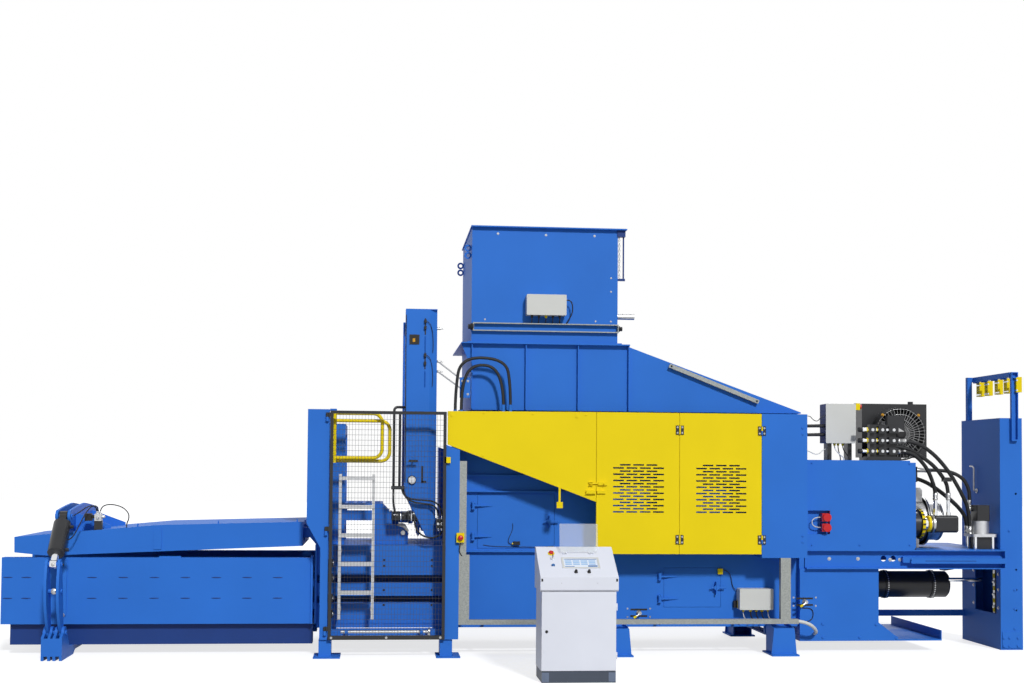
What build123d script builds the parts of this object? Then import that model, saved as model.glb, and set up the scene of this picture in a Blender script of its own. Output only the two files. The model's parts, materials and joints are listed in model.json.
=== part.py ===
from build123d import *
from math import atan2, cos, degrees, hypot, pi, radians, sin, tan
import os

os.makedirs("parts", exist_ok=True)

# A horizontal channel baler for paper, card and film, in millimetres.
# X runs along the bale channel, from the bale outlet (minus) to the wire tower (plus).
# Y runs from the operator's side (minus) to the rear (plus). Z is up from the floor.
# The machine is drawn about the channel's centre plane, and each finished piece is moved
# once, so that the origin is the middle of the whole footprint, on the floor.

# The bale and the channel that forms it
BALE_WIDTH = 1100
WALL_DEPTH = 110
FLOOR_TOP = 312
FLOOR_PLATE = 12
CHANNEL_LEFT = -4910
CHANNEL_RIGHT = -1925
CHANNEL_TOP = 945
CHANNEL_BOTTOM = 300
BEAM_BOTTOM = 95
BEAM_WIDTH = 150
BEAM_INSET = 75
SKIN = 10
FLANGE = 20

# The hinged top plate that squeezes the bales
COVER_LEFT = -4797
COVER_RIGHT = -2030
COVER_SKIN = 12
COVER_HINGE_X = -1965
COVER_HINGE_Z = 1190
COVER_PIN = 25

# The tension clamp round the outlet
CLAMP_X = -4335
CLAMP_PLATE = 25
CLAMP_GAP = 90
ARM_PIN_Y = 1045
ARM_PIN_Z = 905
YOKE_PIN_Y = 640
YOKE_PIN_Z = 1345
FOOT_PIN_Y = 930
FOOT_PIN_Z = 250
CLAMP_PIN = 22
CLAMP_BORE = 82
CLAMP_ROD = 35
CLAMP_REACH = 1070
ARM_REACH = 1130.8

# The tying section, its columns and its cage
COLUMN_LEFT = -1980
TYING_LEFT = -1905
TYING_RIGHT = -500
COLUMN_TOP = 2405
COLUMN_FACE = 950
COLUMN_FOOT = 174
COLUMN_SHEET = 6
NEEDLE_X = -880
NEEDLES = 5
NEEDLE_PITCH = 200
NEEDLE_WIDTH = 30
NEEDLE_THICK = 12
MAST_TOP = 3415
MAST_LEFT = -1038
MAST_RIGHT = -724
MAST_FACE = 750
MAST_DEPTH = 180
MAST_SHEET = 8
WIRE_SHAFT_Y = -850
WIRE_SHAFT_Z = 240
MESH_PIVOT = (-1792, -969)
MESH_HINGES = (262, 1225, 2330)
KNUCKLE = 14
KNUCKLE_HEIGHT = 42
GATE_X = -1730
GATE_Y = -830
GATE_TUBE = 17

# The press chamber and its side walls
CHAMBER_TOP = 1075
WALL_FACE = 620
WALL_TOP = 2425
CHAMBER_RIGHT = 2990
SHAFT_LEFT = -385
SHAFT_RIGHT = 1200
SHAFT_HALF = 750
SHAFT_SHEET = 10

# The charging hopper, its chute and the inclined hood
HOPPER_RIGHT = 1090
HOPPER_TOP = 4255
CHUTE_TOP = 3075
HOOD_RIGHT = 2985

# The yellow guards in front of the press chamber
GUARD_FACE = 950
GUARD_SHEET = 4
GUARD_RETURN = 36
GUARD_TOP = 2408
GUARD_LEFT = -621
DOOR_LEFT = 853
DOOR_MIDDLE = 1688
DOOR_RIGHT = 2523
DOOR_BOTTOM = 1007
DOOR_GAP = 4
PIVOT = 9

# The main press ram and its cylinder
RAM_FACE = 1240
RAM_LENGTH = 1450
RAM_GAP = 3
CYLINDER_AXIS = 634
CYLINDER_RADIUS = 140
CYLINDER_LEFT = 2960
CYLINDER_RIGHT = 4822
RAM_ROD = 75

# The hydraulic power unit on its frame
FRAME_LEFT = 3048
FRAME_RIGHT = 5150
FRAME_BOTTOM = 847
FRAME_TOP = 1040
FRAME_HALF = 750
TANK_RIGHT = 4194
TANK_TOP = 1955
TANK_FRONT = -750
TANK_REAR = 130

# The wire tower at the rear end
TOWER_LEFT = 5160
TOWER_RIGHT = 5400
TOWER_FRONT = -600
TOWER_REAR = 360
TOWER_TOP = 2410
WIRE_BEAM_Z = 2890

# The operator's console, which stands by itself
CONSOLE_X = 446
CONSOLE_WIDTH = 652
CONSOLE_FRONT = -2620
CONSOLE_DEPTH = 430
CONSOLE_PIVOT = (777, -2606)

# Clearances between pieces that move or only touch
CLEAR = 0.3
FIT = 0.05

FOOTPRINT_LEFT = CHANNEL_LEFT
FOOTPRINT_RIGHT = TOWER_RIGHT
FOOTPRINT_FRONT = CONSOLE_FRONT - 15
FOOTPRINT_REAR = ARM_REACH
TO_ORIGIN = Location(
    (
        -(FOOTPRINT_LEFT + FOOTPRINT_RIGHT) / 2,
        -(FOOTPRINT_FRONT + FOOTPRINT_REAR) / 2,
        0,
    )
)

BALE_HALF = BALE_WIDTH / 2
CHANNEL_HALF = BALE_HALF + WALL_DEPTH


def facing(y):
    """Upright plane at depth y, drawn in X and Z; an extrusion comes forward."""
    return Plane.XZ.offset(-y)


def crosswise(x):
    """Upright plane across the machine at x, drawn in Y and Z; an extrusion goes right."""
    return Plane.YZ.offset(x)


def level(z):
    """Flat plane at height z; an extrusion goes up."""
    return Plane.XY.offset(z)


def area(a0, a1, b0, b1, mode=Mode.ADD):
    """Rectangle in the open sketch, from its low and high edges."""
    with Locations(((a0 + a1) / 2, (b0 + b1) / 2)):
        Rectangle(a1 - a0, b1 - b0, mode=mode)


def finish(piece, label):
    """Moves a finished piece to the footprint's origin, names it and writes it."""
    piece.part = piece.part.moved(TO_ORIGIN)
    piece.part.label = label
    export_step(piece.part, f"parts/{label}.step")


# Bale channel
# Each side wall is a folded box: an outer sheet, an inner liner and three long ribs.
RIBS_Z = (544, 747)
STRIP_X = -4340
STRIP_WIDTH = 95
STRIP_LOW = 385
STRIP_HIGH = 925
STRIP_PLATE = 14
TAB_ROWS = (470, 690, 890)
TAB_LENGTH = 20


def channel_side(front):
    """Side wall on one side of the bales: -1 is the operator's side, 1 the rear."""
    inner = BALE_HALF
    outer = CHANNEL_HALF
    with BuildPart() as wall:
        with BuildSketch(crosswise(CHANNEL_LEFT + SKIN)):
            area(inner, outer, CHANNEL_BOTTOM, CHANNEL_TOP)
            shelves = [CHANNEL_BOTTOM, *RIBS_Z, CHANNEL_TOP]
            for low, high in zip(shelves, shelves[1:]):
                area(inner + SKIN, outer - SKIN, low + SKIN, high - SKIN, Mode.SUBTRACT)
        extrude(amount=CHANNEL_RIGHT - FLANGE - CHANNEL_LEFT - SKIN)
        with BuildSketch(crosswise(CHANNEL_LEFT)):
            area(inner, outer, CHANNEL_BOTTOM, CHANNEL_TOP)
        extrude(amount=SKIN)
        with BuildSketch(crosswise(CHANNEL_RIGHT - FLANGE)):
            area(inner, outer + FLANGE, CHANNEL_BOTTOM, CHANNEL_TOP + FLANGE)
            with Locations(*((outer - 30, z) for z in TAB_ROWS)):
                Circle(9, mode=Mode.SUBTRACT)
        extrude(amount=FLANGE)
        with BuildSketch(crosswise(CHANNEL_RIGHT)):
            for z in TAB_ROWS:
                area(outer - 75, outer - 45, z - 35, z + 35)
        extrude(amount=TAB_LENGTH)
        with BuildSketch(Plane.XZ.offset(-outer)) as strip:
            area(STRIP_X - STRIP_WIDTH / 2, STRIP_X + STRIP_WIDTH / 2, STRIP_LOW, STRIP_HIGH)
            corner = strip.vertices().sort_by(Axis.Z).sort_by(Axis.X)[:2].sort_by(Axis.Z)[-1]
            fillet(corner, 40)
            with Locations((STRIP_X, STRIP_LOW + 45), (STRIP_X, STRIP_HIGH - 45)):
                Circle(12, mode=Mode.SUBTRACT)
        extrude(amount=-STRIP_PLATE)
        with BuildSketch(crosswise(-3420)):
            with BuildLine():
                Line((outer - 1, CHANNEL_TOP), (outer - 61, CHANNEL_TOP))
                ThreePointArc(
                    (outer - 61, CHANNEL_TOP), (outer - 31, CHANNEL_TOP + 14), (outer - 1, CHANNEL_TOP)
                )
            make_face()
        extrude(amount=210)
        if front < 0:
            mirror(about=Plane.XZ, mode=Mode.REPLACE)
    return wall


channel_side_front = channel_side(-1)
finish(channel_side_front, "channel_side_front")
channel_side_rear = channel_side(1)
finish(channel_side_rear, "channel_side_rear")

# The floor plate lies between the walls, and two box beams carry floor and walls.
with BuildPart() as channel_floor:
    with BuildSketch(level(CHANNEL_BOTTOM)):
        area(CHANNEL_LEFT + 30, CHANNEL_RIGHT, -BALE_HALF + CLEAR, BALE_HALF - CLEAR)
    extrude(amount=FLOOR_PLATE)
    beam_y = CHANNEL_HALF - BEAM_INSET - BEAM_WIDTH / 2
    with BuildSketch(crosswise(CHANNEL_LEFT + 75)):
        for side in (-1, 1):
            low = side * beam_y - BEAM_WIDTH / 2
            area(low, low + BEAM_WIDTH, BEAM_BOTTOM, CHANNEL_BOTTOM)
            area(low + 8, low + BEAM_WIDTH - 8, BEAM_BOTTOM + 8, CHANNEL_BOTTOM - 8, Mode.SUBTRACT)
    extrude(amount=CHANNEL_RIGHT - CHANNEL_LEFT - 75)
    for x in (CHANNEL_LEFT + 75, -3560, -2720, CHANNEL_RIGHT - 40):
        with BuildSketch(crosswise(x)):
            reach = beam_y - BEAM_WIDTH / 2
            area(-reach, reach, BEAM_BOTTOM + 45, CHANNEL_BOTTOM)
            area(-reach + 90, reach - 90, BEAM_BOTTOM + 45, CHANNEL_BOTTOM - 60, Mode.SUBTRACT)
        extrude(amount=12)
finish(channel_floor, "channel_floor")

# Top plate of the channel: a tapered box, hinged at its right end. It squeezes the bales.
cover_profile = [
    (COVER_LEFT, 992),
    (COVER_LEFT - 3, 1142),
    (-3450, 1262),
    (COVER_RIGHT, 1300),
    (COVER_RIGHT, 1062),
    (-4500, 962),
]
COVER_HALF = CHANNEL_HALF - 15
HINGE_LUGS = (-480, 0, 480)
LUG_WIDTH = 60
YOKE_TOP = 1460
YOKE_SPREAD = (CLAMP_GAP + CLAMP_PLATE) / 2


def yoke_plate(x):
    """Arched plate across the cover that carries both clamp cylinders at its ends."""
    ear = 62
    seat = 1130
    tip = YOKE_PIN_Y + ear
    shoulder = (YOKE_PIN_Y + 30, YOKE_PIN_Z + ear - 6)
    low = (YOKE_PIN_Y, YOKE_PIN_Z - ear)
    with BuildSketch(crosswise(x)) as plate:
        with BuildLine():
            Polyline((0, seat), (380, seat), (430, YOKE_PIN_Z - 130), low)
            ThreePointArc(low, (tip, YOKE_PIN_Z), shoulder)
            ThreePointArc(shoulder, (300, YOKE_TOP - 22), (0, YOKE_TOP))
            Line((0, YOKE_TOP), (0, seat))
        make_face()
        with Locations((YOKE_PIN_Y, YOKE_PIN_Z)):
            Circle(CLAMP_PIN, mode=Mode.SUBTRACT)
        mirror(about=Plane.YZ)
    return plate.sketch


with BuildPart() as channel_top_cover:
    with BuildSketch(facing(COVER_HALF)):
        Polygon(*cover_profile, align=None)
    extrude(amount=2 * COVER_HALF)
    with BuildSketch(facing(COVER_HALF - COVER_SKIN)):
        Polygon(*cover_profile, align=None)
        offset(amount=-COVER_SKIN, mode=Mode.REPLACE)
    extrude(amount=2 * (COVER_HALF - COVER_SKIN), mode=Mode.SUBTRACT)
    with BuildSketch(crosswise(COVER_RIGHT - 2 * COVER_SKIN)):
        for y in (-240, 240):
            area(y - 120, y + 120, 1100, 1260)
    extrude(amount=2 * COVER_SKIN, mode=Mode.SUBTRACT)
    with BuildSketch(crosswise(COVER_RIGHT)):
        for y in HINGE_LUGS:
            area(y - LUG_WIDTH / 2, y + LUG_WIDTH / 2, COVER_HINGE_Z - 50, COVER_HINGE_Z + 50)
    extrude(amount=COVER_HINGE_X - COVER_RIGHT)
    for y in HINGE_LUGS:
        with BuildSketch(facing(y + LUG_WIDTH / 2)):
            with Locations((COVER_HINGE_X, COVER_HINGE_Z)):
                Circle(50)
        extrude(amount=LUG_WIDTH)
        with BuildSketch(facing(y + LUG_WIDTH / 2)):
            with Locations((COVER_HINGE_X, COVER_HINGE_Z)):
                Circle(COVER_PIN + FIT)
        extrude(amount=LUG_WIDTH, mode=Mode.SUBTRACT)
    for side in (-1, 1):
        extrude(yoke_plate(CLAMP_X + side * YOKE_SPREAD - CLAMP_PLATE / 2), amount=CLAMP_PLATE)
    for side in (-1, 1):
        with BuildSketch(crosswise(CLAMP_X - YOKE_SPREAD - CLAMP_PLATE / 2 - 12)):
            with Locations((side * YOKE_PIN_Y, YOKE_PIN_Z)):
                Circle(CLAMP_PIN)
        extrude(amount=2 * YOKE_SPREAD + CLAMP_PLATE + 24)
    for y in (-430, 370):
        with BuildSketch(facing(y + 12)):
            start = CLAMP_X + YOKE_SPREAD + CLAMP_PLATE / 2
            Polygon((start, 1130), (start, 1375), (start + 340, 1250), (start + 340, 1210), align=None)
        extrude(amount=12)
    with BuildSketch(facing(-COVER_HALF)):
        area(-3475, -3400, 1025, 1225)
    extrude(amount=10)
    for x, top in ((-3640, 1245), (-2860, 1278), (-2090, 1298)):
        with BuildSketch(crosswise(x - 5)):
            with Locations((-COVER_HALF + 60, top + 8)):
                Circle(22)
                Circle(12, mode=Mode.SUBTRACT)
        extrude(amount=10)
finish(channel_top_cover, "channel_top_cover")

# Tension clamp: a frame under the channel, an arm up each side and a cylinder on each arm.
FINGER_OFFSETS = (-96.5, -36.5, 11.5, 71.5)
FINGER = 25


def clamp_finger(x):
    """Upright plate of the frame under the channel, with an eye at each end."""
    eye = 60
    with BuildSketch(crosswise(x)) as plate:
        with BuildLine():
            Polyline((0, 40), (480, 40), (560, 0), (CLAMP_REACH, 0), (CLAMP_REACH, FOOT_PIN_Z - 30))
            Line((CLAMP_REACH, FOOT_PIN_Z - 30), (FOOT_PIN_Y + eye, FOOT_PIN_Z + 8))
            ThreePointArc(
                (FOOT_PIN_Y + eye, FOOT_PIN_Z + 8),
                (FOOT_PIN_Y, FOOT_PIN_Z + eye),
                (FOOT_PIN_Y - eye, FOOT_PIN_Z + 8),
            )
            Polyline((FOOT_PIN_Y - eye, FOOT_PIN_Z + 8), (720, BEAM_BOTTOM), (0, BEAM_BOTTOM), (0, 40))
        make_face()
        with Locations((FOOT_PIN_Y, FOOT_PIN_Z)):
            Circle(CLAMP_PIN + FIT, mode=Mode.SUBTRACT)
        mirror(about=Plane.YZ)
    return plate.sketch


with BuildPart() as clamp_frame:
    for x in FINGER_OFFSETS:
        extrude(clamp_finger(CLAMP_X + x), amount=FINGER)
    for y in (-CLAMP_REACH + 12, CLAMP_REACH):
        with BuildSketch(facing(y)):
            area(CLAMP_X + FINGER_OFFSETS[0], CLAMP_X + FINGER_OFFSETS[-1] + FINGER, 42, FOOT_PIN_Z - 40)
        extrude(amount=12)
    with BuildSketch(level(40)):
        area(CLAMP_X + FINGER_OFFSETS[0], CLAMP_X + FINGER_OFFSETS[-1] + FINGER, -480, 480)
    extrude(amount=12)
finish(clamp_frame, "clamp_frame")


def clamp_arm_plate(x):
    """One bowed plate of an arm, from the frame's eye up to the rod's pin."""
    eye = 48
    with BuildSketch(crosswise(x)) as plate:
        with BuildLine():
            outer_low = (FOOT_PIN_Y + eye, FOOT_PIN_Z)
            inner_low = (FOOT_PIN_Y - eye, FOOT_PIN_Z)
            outer_high = (ARM_PIN_Y + eye, ARM_PIN_Z)
            inner_high = (ARM_PIN_Y - eye, ARM_PIN_Z)
            ThreePointArc(inner_low, (FOOT_PIN_Y, FOOT_PIN_Z - eye), outer_low)
            ThreePointArc(outer_low, (FOOT_PIN_Y + 190, 560), outer_high)
            ThreePointArc(outer_high, (ARM_PIN_Y, ARM_PIN_Z + eye), inner_high)
            ThreePointArc(inner_high, (FOOT_PIN_Y + 8, 600), inner_low)
        make_face()
    return plate.sketch


ARM_STAY = (FOOT_PIN_Y + 95, 650)
FOOT_PIN_REACH = FINGER_OFFSETS[-1] + FINGER + 14
ARM_SPREAD = (CLAMP_GAP + CLAMP_PLATE) / 2
with BuildPart() as clamp_arms:
    for sign in (-1, 1):
        extrude(clamp_arm_plate(CLAMP_X + sign * ARM_SPREAD - CLAMP_PLATE / 2), amount=CLAMP_PLATE)
    with BuildSketch(crosswise(CLAMP_X - ARM_SPREAD - CLAMP_PLATE / 2 - 10)):
        with Locations((ARM_PIN_Y, ARM_PIN_Z), ARM_STAY):
            Circle(CLAMP_PIN)
    extrude(amount=2 * ARM_SPREAD + CLAMP_PLATE + 20)
    with BuildSketch(crosswise(CLAMP_X - FOOT_PIN_REACH)):
        with Locations((FOOT_PIN_Y, FOOT_PIN_Z)):
            Circle(CLAMP_PIN)
    extrude(amount=2 * FOOT_PIN_REACH)
    mirror(about=Plane.XZ)
finish(clamp_arms, "clamp_arms")

# Each clamp cylinder hangs from the yoke's pin, and its rod ends on the arm's upper pin.
clamp_run = hypot(ARM_PIN_Y - YOKE_PIN_Y, YOKE_PIN_Z - ARM_PIN_Z)
CLAMP_EYE = 50
CLAMP_EYE_WIDTH = 70
BARREL_START = 92
BARREL_LENGTH = 375
ROD_EYE = 40
ROD_EYE_WIDTH = 60
for label, side in (("front", -1), ("rear", 1)):
    down = Vector(0, side * (ARM_PIN_Y - YOKE_PIN_Y), ARM_PIN_Z - YOKE_PIN_Z).normalized()
    top = Vector(CLAMP_X, side * YOKE_PIN_Y, YOKE_PIN_Z)
    with BuildPart() as clamp_barrel:
        with BuildSketch(crosswise(CLAMP_X - CLAMP_EYE_WIDTH / 2)):
            with Locations((side * YOKE_PIN_Y, YOKE_PIN_Z)):
                Circle(CLAMP_EYE)
        extrude(amount=CLAMP_EYE_WIDTH)
        with BuildSketch(Plane(top, x_dir=(1, 0, 0), z_dir=down)):
            Rectangle(CLAMP_EYE_WIDTH, 1.5 * CLAMP_EYE)
        extrude(amount=BARREL_START)
        with BuildSketch(Plane(top + down * BARREL_START, x_dir=(1, 0, 0), z_dir=down)):
            Circle(CLAMP_BORE)
        extrude(amount=BARREL_LENGTH)
        circles = clamp_barrel.edges().filter_by(GeomType.CIRCLE)
        rims = circles.filter_by(lambda edge: edge.radius == CLAMP_BORE)
        chamfer(rims, 5)
        with BuildSketch(crosswise(CLAMP_X - CLAMP_EYE_WIDTH / 2)):
            with Locations((side * YOKE_PIN_Y, YOKE_PIN_Z)):
                Circle(CLAMP_PIN + FIT)
        extrude(amount=CLAMP_EYE_WIDTH, mode=Mode.SUBTRACT)
        with BuildSketch(Plane(top + down * (BARREL_START + 60), x_dir=(1, 0, 0), z_dir=down)):
            Circle(CLAMP_ROD + FIT)
        extrude(amount=BARREL_LENGTH, mode=Mode.SUBTRACT)
        for reach in (BARREL_START + 45, BARREL_START + BARREL_LENGTH - 45):
            port = Plane(top + down * reach, x_dir=down, z_dir=(1, 0, 0))
            with BuildSketch(port.offset(CLAMP_BORE - 4)):
                RegularPolygon(18, 6)
            extrude(amount=34)
    finish(clamp_barrel, f"clamp_barrel_{label}")
    with BuildPart() as clamp_rod:
        with BuildSketch(Plane(top + down * (BARREL_START + 70), x_dir=(1, 0, 0), z_dir=down)):
            Circle(CLAMP_ROD)
        extrude(amount=clamp_run - BARREL_START - 70 - ROD_EYE / 2)
        with BuildSketch(crosswise(CLAMP_X - ROD_EYE_WIDTH / 2)):
            with Locations((side * ARM_PIN_Y, ARM_PIN_Z)):
                Circle(ROD_EYE)
        extrude(amount=ROD_EYE_WIDTH)
        with BuildSketch(crosswise(CLAMP_X - CLAMP_ROD)):
            with Locations((side * ARM_PIN_Y, ARM_PIN_Z)):
                Circle(CLAMP_PIN + 2)
        extrude(amount=2 * CLAMP_ROD, mode=Mode.SUBTRACT)
    finish(clamp_rod, f"clamp_rod_{label}")

# Tying section: folded columns on each side, joined over the channel, with slotted walls.
FEET_PLATE = 12
RIGHT_COLUMN = -637
SLOT_ROWS = ((502, 571), (699, 777))


def column_left(y, depth):
    """Outer skin of the left column, wide above and narrow below, seen from the front."""
    with BuildSketch(facing(y)) as skin:
        Polygon(
            (COLUMN_LEFT, 1300),
            (COLUMN_LEFT, COLUMN_TOP),
            (-1770, COLUMN_TOP),
            (-1770, COLUMN_FOOT),
            (-1845, COLUMN_FOOT),
            (-1845, 1060),
            align=None,
        )
    return extrude(skin.sketch, amount=depth)


SILL_FRONT = -COLUMN_FACE + 194


def cage_fittings():
    """Gate bracket, mesh door knuckles and shaft bearings, welded to the front frame."""
    with BuildPart() as fittings:
        for z in (1865, 2395 + CLEAR):
            with BuildSketch(level(z)):
                area(-1770, GATE_X + 24, GATE_Y - 20, GATE_Y + 58)
            extrude(amount=20 - CLEAR)
        with BuildSketch(level(1865)):
            with Locations((GATE_X, GATE_Y + 30)):
                Circle(12)
        extrude(amount=550)
        for z in MESH_HINGES:
            with BuildSketch(level(z - KNUCKLE_HEIGHT - CLEAR)):
                with Locations(MESH_PIVOT):
                    Circle(KNUCKLE)
                area(MESH_PIVOT[0] - 8, MESH_PIVOT[0] + 8, MESH_PIVOT[1], -COLUMN_FACE)
            extrude(amount=KNUCKLE_HEIGHT)
            with BuildSketch(level(z - KNUCKLE_HEIGHT)):
                with Locations(MESH_PIVOT):
                    Circle(8)
            extrude(amount=2 * KNUCKLE_HEIGHT)
            with BuildSketch(facing(-COLUMN_FACE)):
                area(MESH_PIVOT[0] - 24, MESH_PIVOT[0] + 18, z - KNUCKLE_HEIGHT - 10, z - 5)
            extrude(amount=5)
        for x in (-1600, -870):
            with BuildSketch(crosswise(x)):
                with BuildLine():
                    sill = SILL_FRONT
                    low = (WIRE_SHAFT_Y, WIRE_SHAFT_Z - 32)
                    high = (WIRE_SHAFT_Y, WIRE_SHAFT_Z + 32)
                    Polyline(high, (sill, COLUMN_FOOT + 80), (sill, COLUMN_FOOT), low)
                    ThreePointArc(low, (WIRE_SHAFT_Y - 32, WIRE_SHAFT_Z), high)
                make_face()
                with Locations((WIRE_SHAFT_Y, WIRE_SHAFT_Z)):
                    Circle(14 + FIT, mode=Mode.SUBTRACT)
            extrude(amount=30)
    return fittings.part


face = -COLUMN_FACE
column_back = -CHANNEL_HALF
with BuildPart() as tying_frame:
    add(column_left(face + COLUMN_SHEET, COLUMN_SHEET))
    with BuildSketch(level(COLUMN_FOOT)):
        area(-1776, -1770, face + COLUMN_SHEET, face + 120)
        area(-1845, -1839, face + COLUMN_SHEET, column_back)
        area(-1845, -1776, column_back - 6, column_back)
    extrude(amount=COLUMN_TOP - COLUMN_FOOT)
    with BuildSketch(level(COLUMN_FOOT)):
        area(RIGHT_COLUMN, TYING_RIGHT, face, face + COLUMN_SHEET)
        area(TYING_RIGHT - COLUMN_SHEET, TYING_RIGHT, face + COLUMN_SHEET, face + 120)
        area(RIGHT_COLUMN, RIGHT_COLUMN + 6, face + COLUMN_SHEET, column_back)
        area(RIGHT_COLUMN + 6, TYING_RIGHT, column_back - 6, column_back)
    extrude(amount=2076 - COLUMN_FOOT)
    with BuildSketch(facing(column_back - 6)):
        area(-1839, RIGHT_COLUMN, COLUMN_FOOT, COLUMN_FOOT + 80)
    extrude(amount=column_back - 6 - SILL_FRONT)
    for x0, x1 in ((-1901, -1642), (-715, -481)):
        with BuildSketch(level(0)):
            area(x0, x1, face - 60, face + 300)
            with Locations((x0 + 25, face - 30), (x1 - 25, face - 30)):
                Circle(11, mode=Mode.SUBTRACT)
        extrude(amount=FEET_PLATE)
        with BuildSketch(level(FEET_PLATE)):
            middle = (x0 + x1) / 2 - 20
            area(middle - 60, middle + 60, face + 20, face + 260)
            area(middle - 50, middle + 50, face + 30, face + 250, Mode.SUBTRACT)
        extrude(amount=COLUMN_FOOT - FEET_PLATE)
    with BuildSketch(facing(column_back + 1)):
        Polygon((-640, 2072), (-499, 2019), (-499, 2080), (-640, 2080), align=None)
    extrude(amount=column_back - face + 2, mode=Mode.SUBTRACT)
    mirror(about=Plane.XZ)
    add(cage_fittings())
finish(tying_frame, "tying_frame")

# The slotted side walls of the tying section let the wires out to be tied.
with BuildPart() as tying_walls:
    with BuildSketch(facing(-BALE_HALF)):
        area(TYING_LEFT, TYING_RIGHT, CHANNEL_BOTTOM, CHAMBER_TOP)
        for low, high in SLOT_ROWS:
            area(-1740, TYING_RIGHT - 60, low, high, Mode.SUBTRACT)
    extrude(amount=16)
    with BuildSketch(crosswise(TYING_LEFT + 20)):
        shelves = [CHANNEL_BOTTOM, SLOT_ROWS[0][0], SLOT_ROWS[0][1], *SLOT_ROWS[1], CHAMBER_TOP]
        for low, high in zip(shelves[::2], shelves[1::2]):
            area(-CHANNEL_HALF, -BALE_HALF - 16, low, high)
            area(-CHANNEL_HALF + 8, -BALE_HALF - 16, low + 8, high - 8, Mode.SUBTRACT)
    extrude(amount=TYING_RIGHT - TYING_LEFT - 20)
    with BuildSketch(crosswise(TYING_LEFT)):
        area(-CHANNEL_HALF - FLANGE, -BALE_HALF - 16, CHANNEL_BOTTOM, CHAMBER_TOP)
    extrude(amount=20)
    mirror(about=Plane.XZ)
finish(tying_walls, "tying_walls")

# Roof of the tying section, with a slot for each needle, the hinge of the channel's top
# plate and the two uprights that carry the platform.
UPRIGHT_Y = 430
needle_rows = [(i - (NEEDLES - 1) / 2) * NEEDLE_PITCH for i in range(NEEDLES)]
with BuildPart() as tying_roof:
    with BuildSketch(level(CHAMBER_TOP - FLOOR_PLATE)):
        area(TYING_LEFT, TYING_RIGHT, -BALE_HALF + CLEAR, BALE_HALF - CLEAR)
        for y in needle_rows:
            area(NEEDLE_X - 60, NEEDLE_X + 60, y - 20, y + 20, Mode.SUBTRACT)
    extrude(amount=FLOOR_PLATE)
    with BuildSketch(level(CHAMBER_TOP)):
        for y in (-UPRIGHT_Y, UPRIGHT_Y):
            area(-1775, -1627, y - 50, y + 50)
            area(-1765, -1637, y - 40, y + 40, Mode.SUBTRACT)
    extrude(amount=2280 - CHAMBER_TOP)
    with BuildSketch(facing(UPRIGHT_Y - 50)):
        area(-1775, -1627, 2180, 2280)
        area(-1765, -1637, 2190, 2270, Mode.SUBTRACT)
    extrude(amount=2 * UPRIGHT_Y - 100)
    for y in (-530, -50, 430):
        for z in (-LUG_WIDTH / 2 - 30 - CLEAR, LUG_WIDTH / 2 + CLEAR):
            with BuildSketch(facing(y + 50 + z + 30)):
                with Locations((COVER_HINGE_X, COVER_HINGE_Z)):
                    Circle(45)
                Polygon(
                    (COVER_HINGE_X, COVER_HINGE_Z - 45),
                    (COVER_HINGE_X, COVER_HINGE_Z + 45),
                    (TYING_LEFT + 90, COVER_HINGE_Z + 45),
                    (TYING_LEFT + 140, CHAMBER_TOP),
                    (TYING_LEFT, CHAMBER_TOP),
                    align=None,
                )
            extrude(amount=30)
        with BuildSketch(facing(y + 50 + LUG_WIDTH / 2 + 30 + CLEAR)):
            with Locations((COVER_HINGE_X, COVER_HINGE_Z)):
                Circle(COVER_PIN)
        extrude(amount=LUG_WIDTH + 60 + 2 * CLEAR)

# Needle masts, one each side: a folded channel that guides the needle carriage.
with BuildPart() as needle_masts:
    with BuildSketch(level(1150)):
        with BuildLine():
            back = -MAST_FACE + MAST_DEPTH
            Polyline(
                (MAST_LEFT, back),
                (MAST_LEFT, -MAST_FACE),
                (MAST_RIGHT - 75, -MAST_FACE),
                (MAST_RIGHT, -MAST_FACE + 40),
                (MAST_RIGHT, back),
                (MAST_RIGHT - MAST_SHEET, back),
                (MAST_RIGHT - MAST_SHEET, -MAST_FACE + 40 + MAST_SHEET / 2),
                (MAST_RIGHT - 75 - MAST_SHEET / 2, -MAST_FACE + MAST_SHEET),
                (MAST_LEFT + MAST_SHEET, -MAST_FACE + MAST_SHEET),
                (MAST_LEFT + MAST_SHEET, back),
                (MAST_LEFT, back),
            )
        make_face()
    extrude(amount=MAST_TOP - 1150)
    with BuildSketch(facing(back)):
        Polygon(
            (MAST_LEFT - 5, 1100),
            (MAST_LEFT - 5, 1622),
            (MAST_LEFT, 1622),
            (MAST_RIGHT - 90, 1150),
            (MAST_RIGHT - 90, 1100),
            align=None,
        )
    extrude(amount=MAST_DEPTH + 10, mode=Mode.SUBTRACT)
    with BuildSketch(facing(-MAST_FACE + MAST_SHEET)):
        area(-996, -906, 3072, 3160)
        for low, high in ((2970, 3150), (2640, 2800)):
            area(-852, -838, low, high)
    extrude(amount=MAST_SHEET, mode=Mode.SUBTRACT)
    with BuildSketch(level(MAST_TOP)):
        area(MAST_LEFT, MAST_RIGHT, -MAST_FACE, back)
    extrude(amount=MAST_SHEET)
    with BuildSketch(facing(back)):
        area(MAST_RIGHT - MAST_SHEET, MAST_RIGHT + 60, CHAMBER_TOP, 1300)
    extrude(amount=60)
    mirror(about=Plane.XZ)
finish(needle_masts, "needle_masts")

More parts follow.
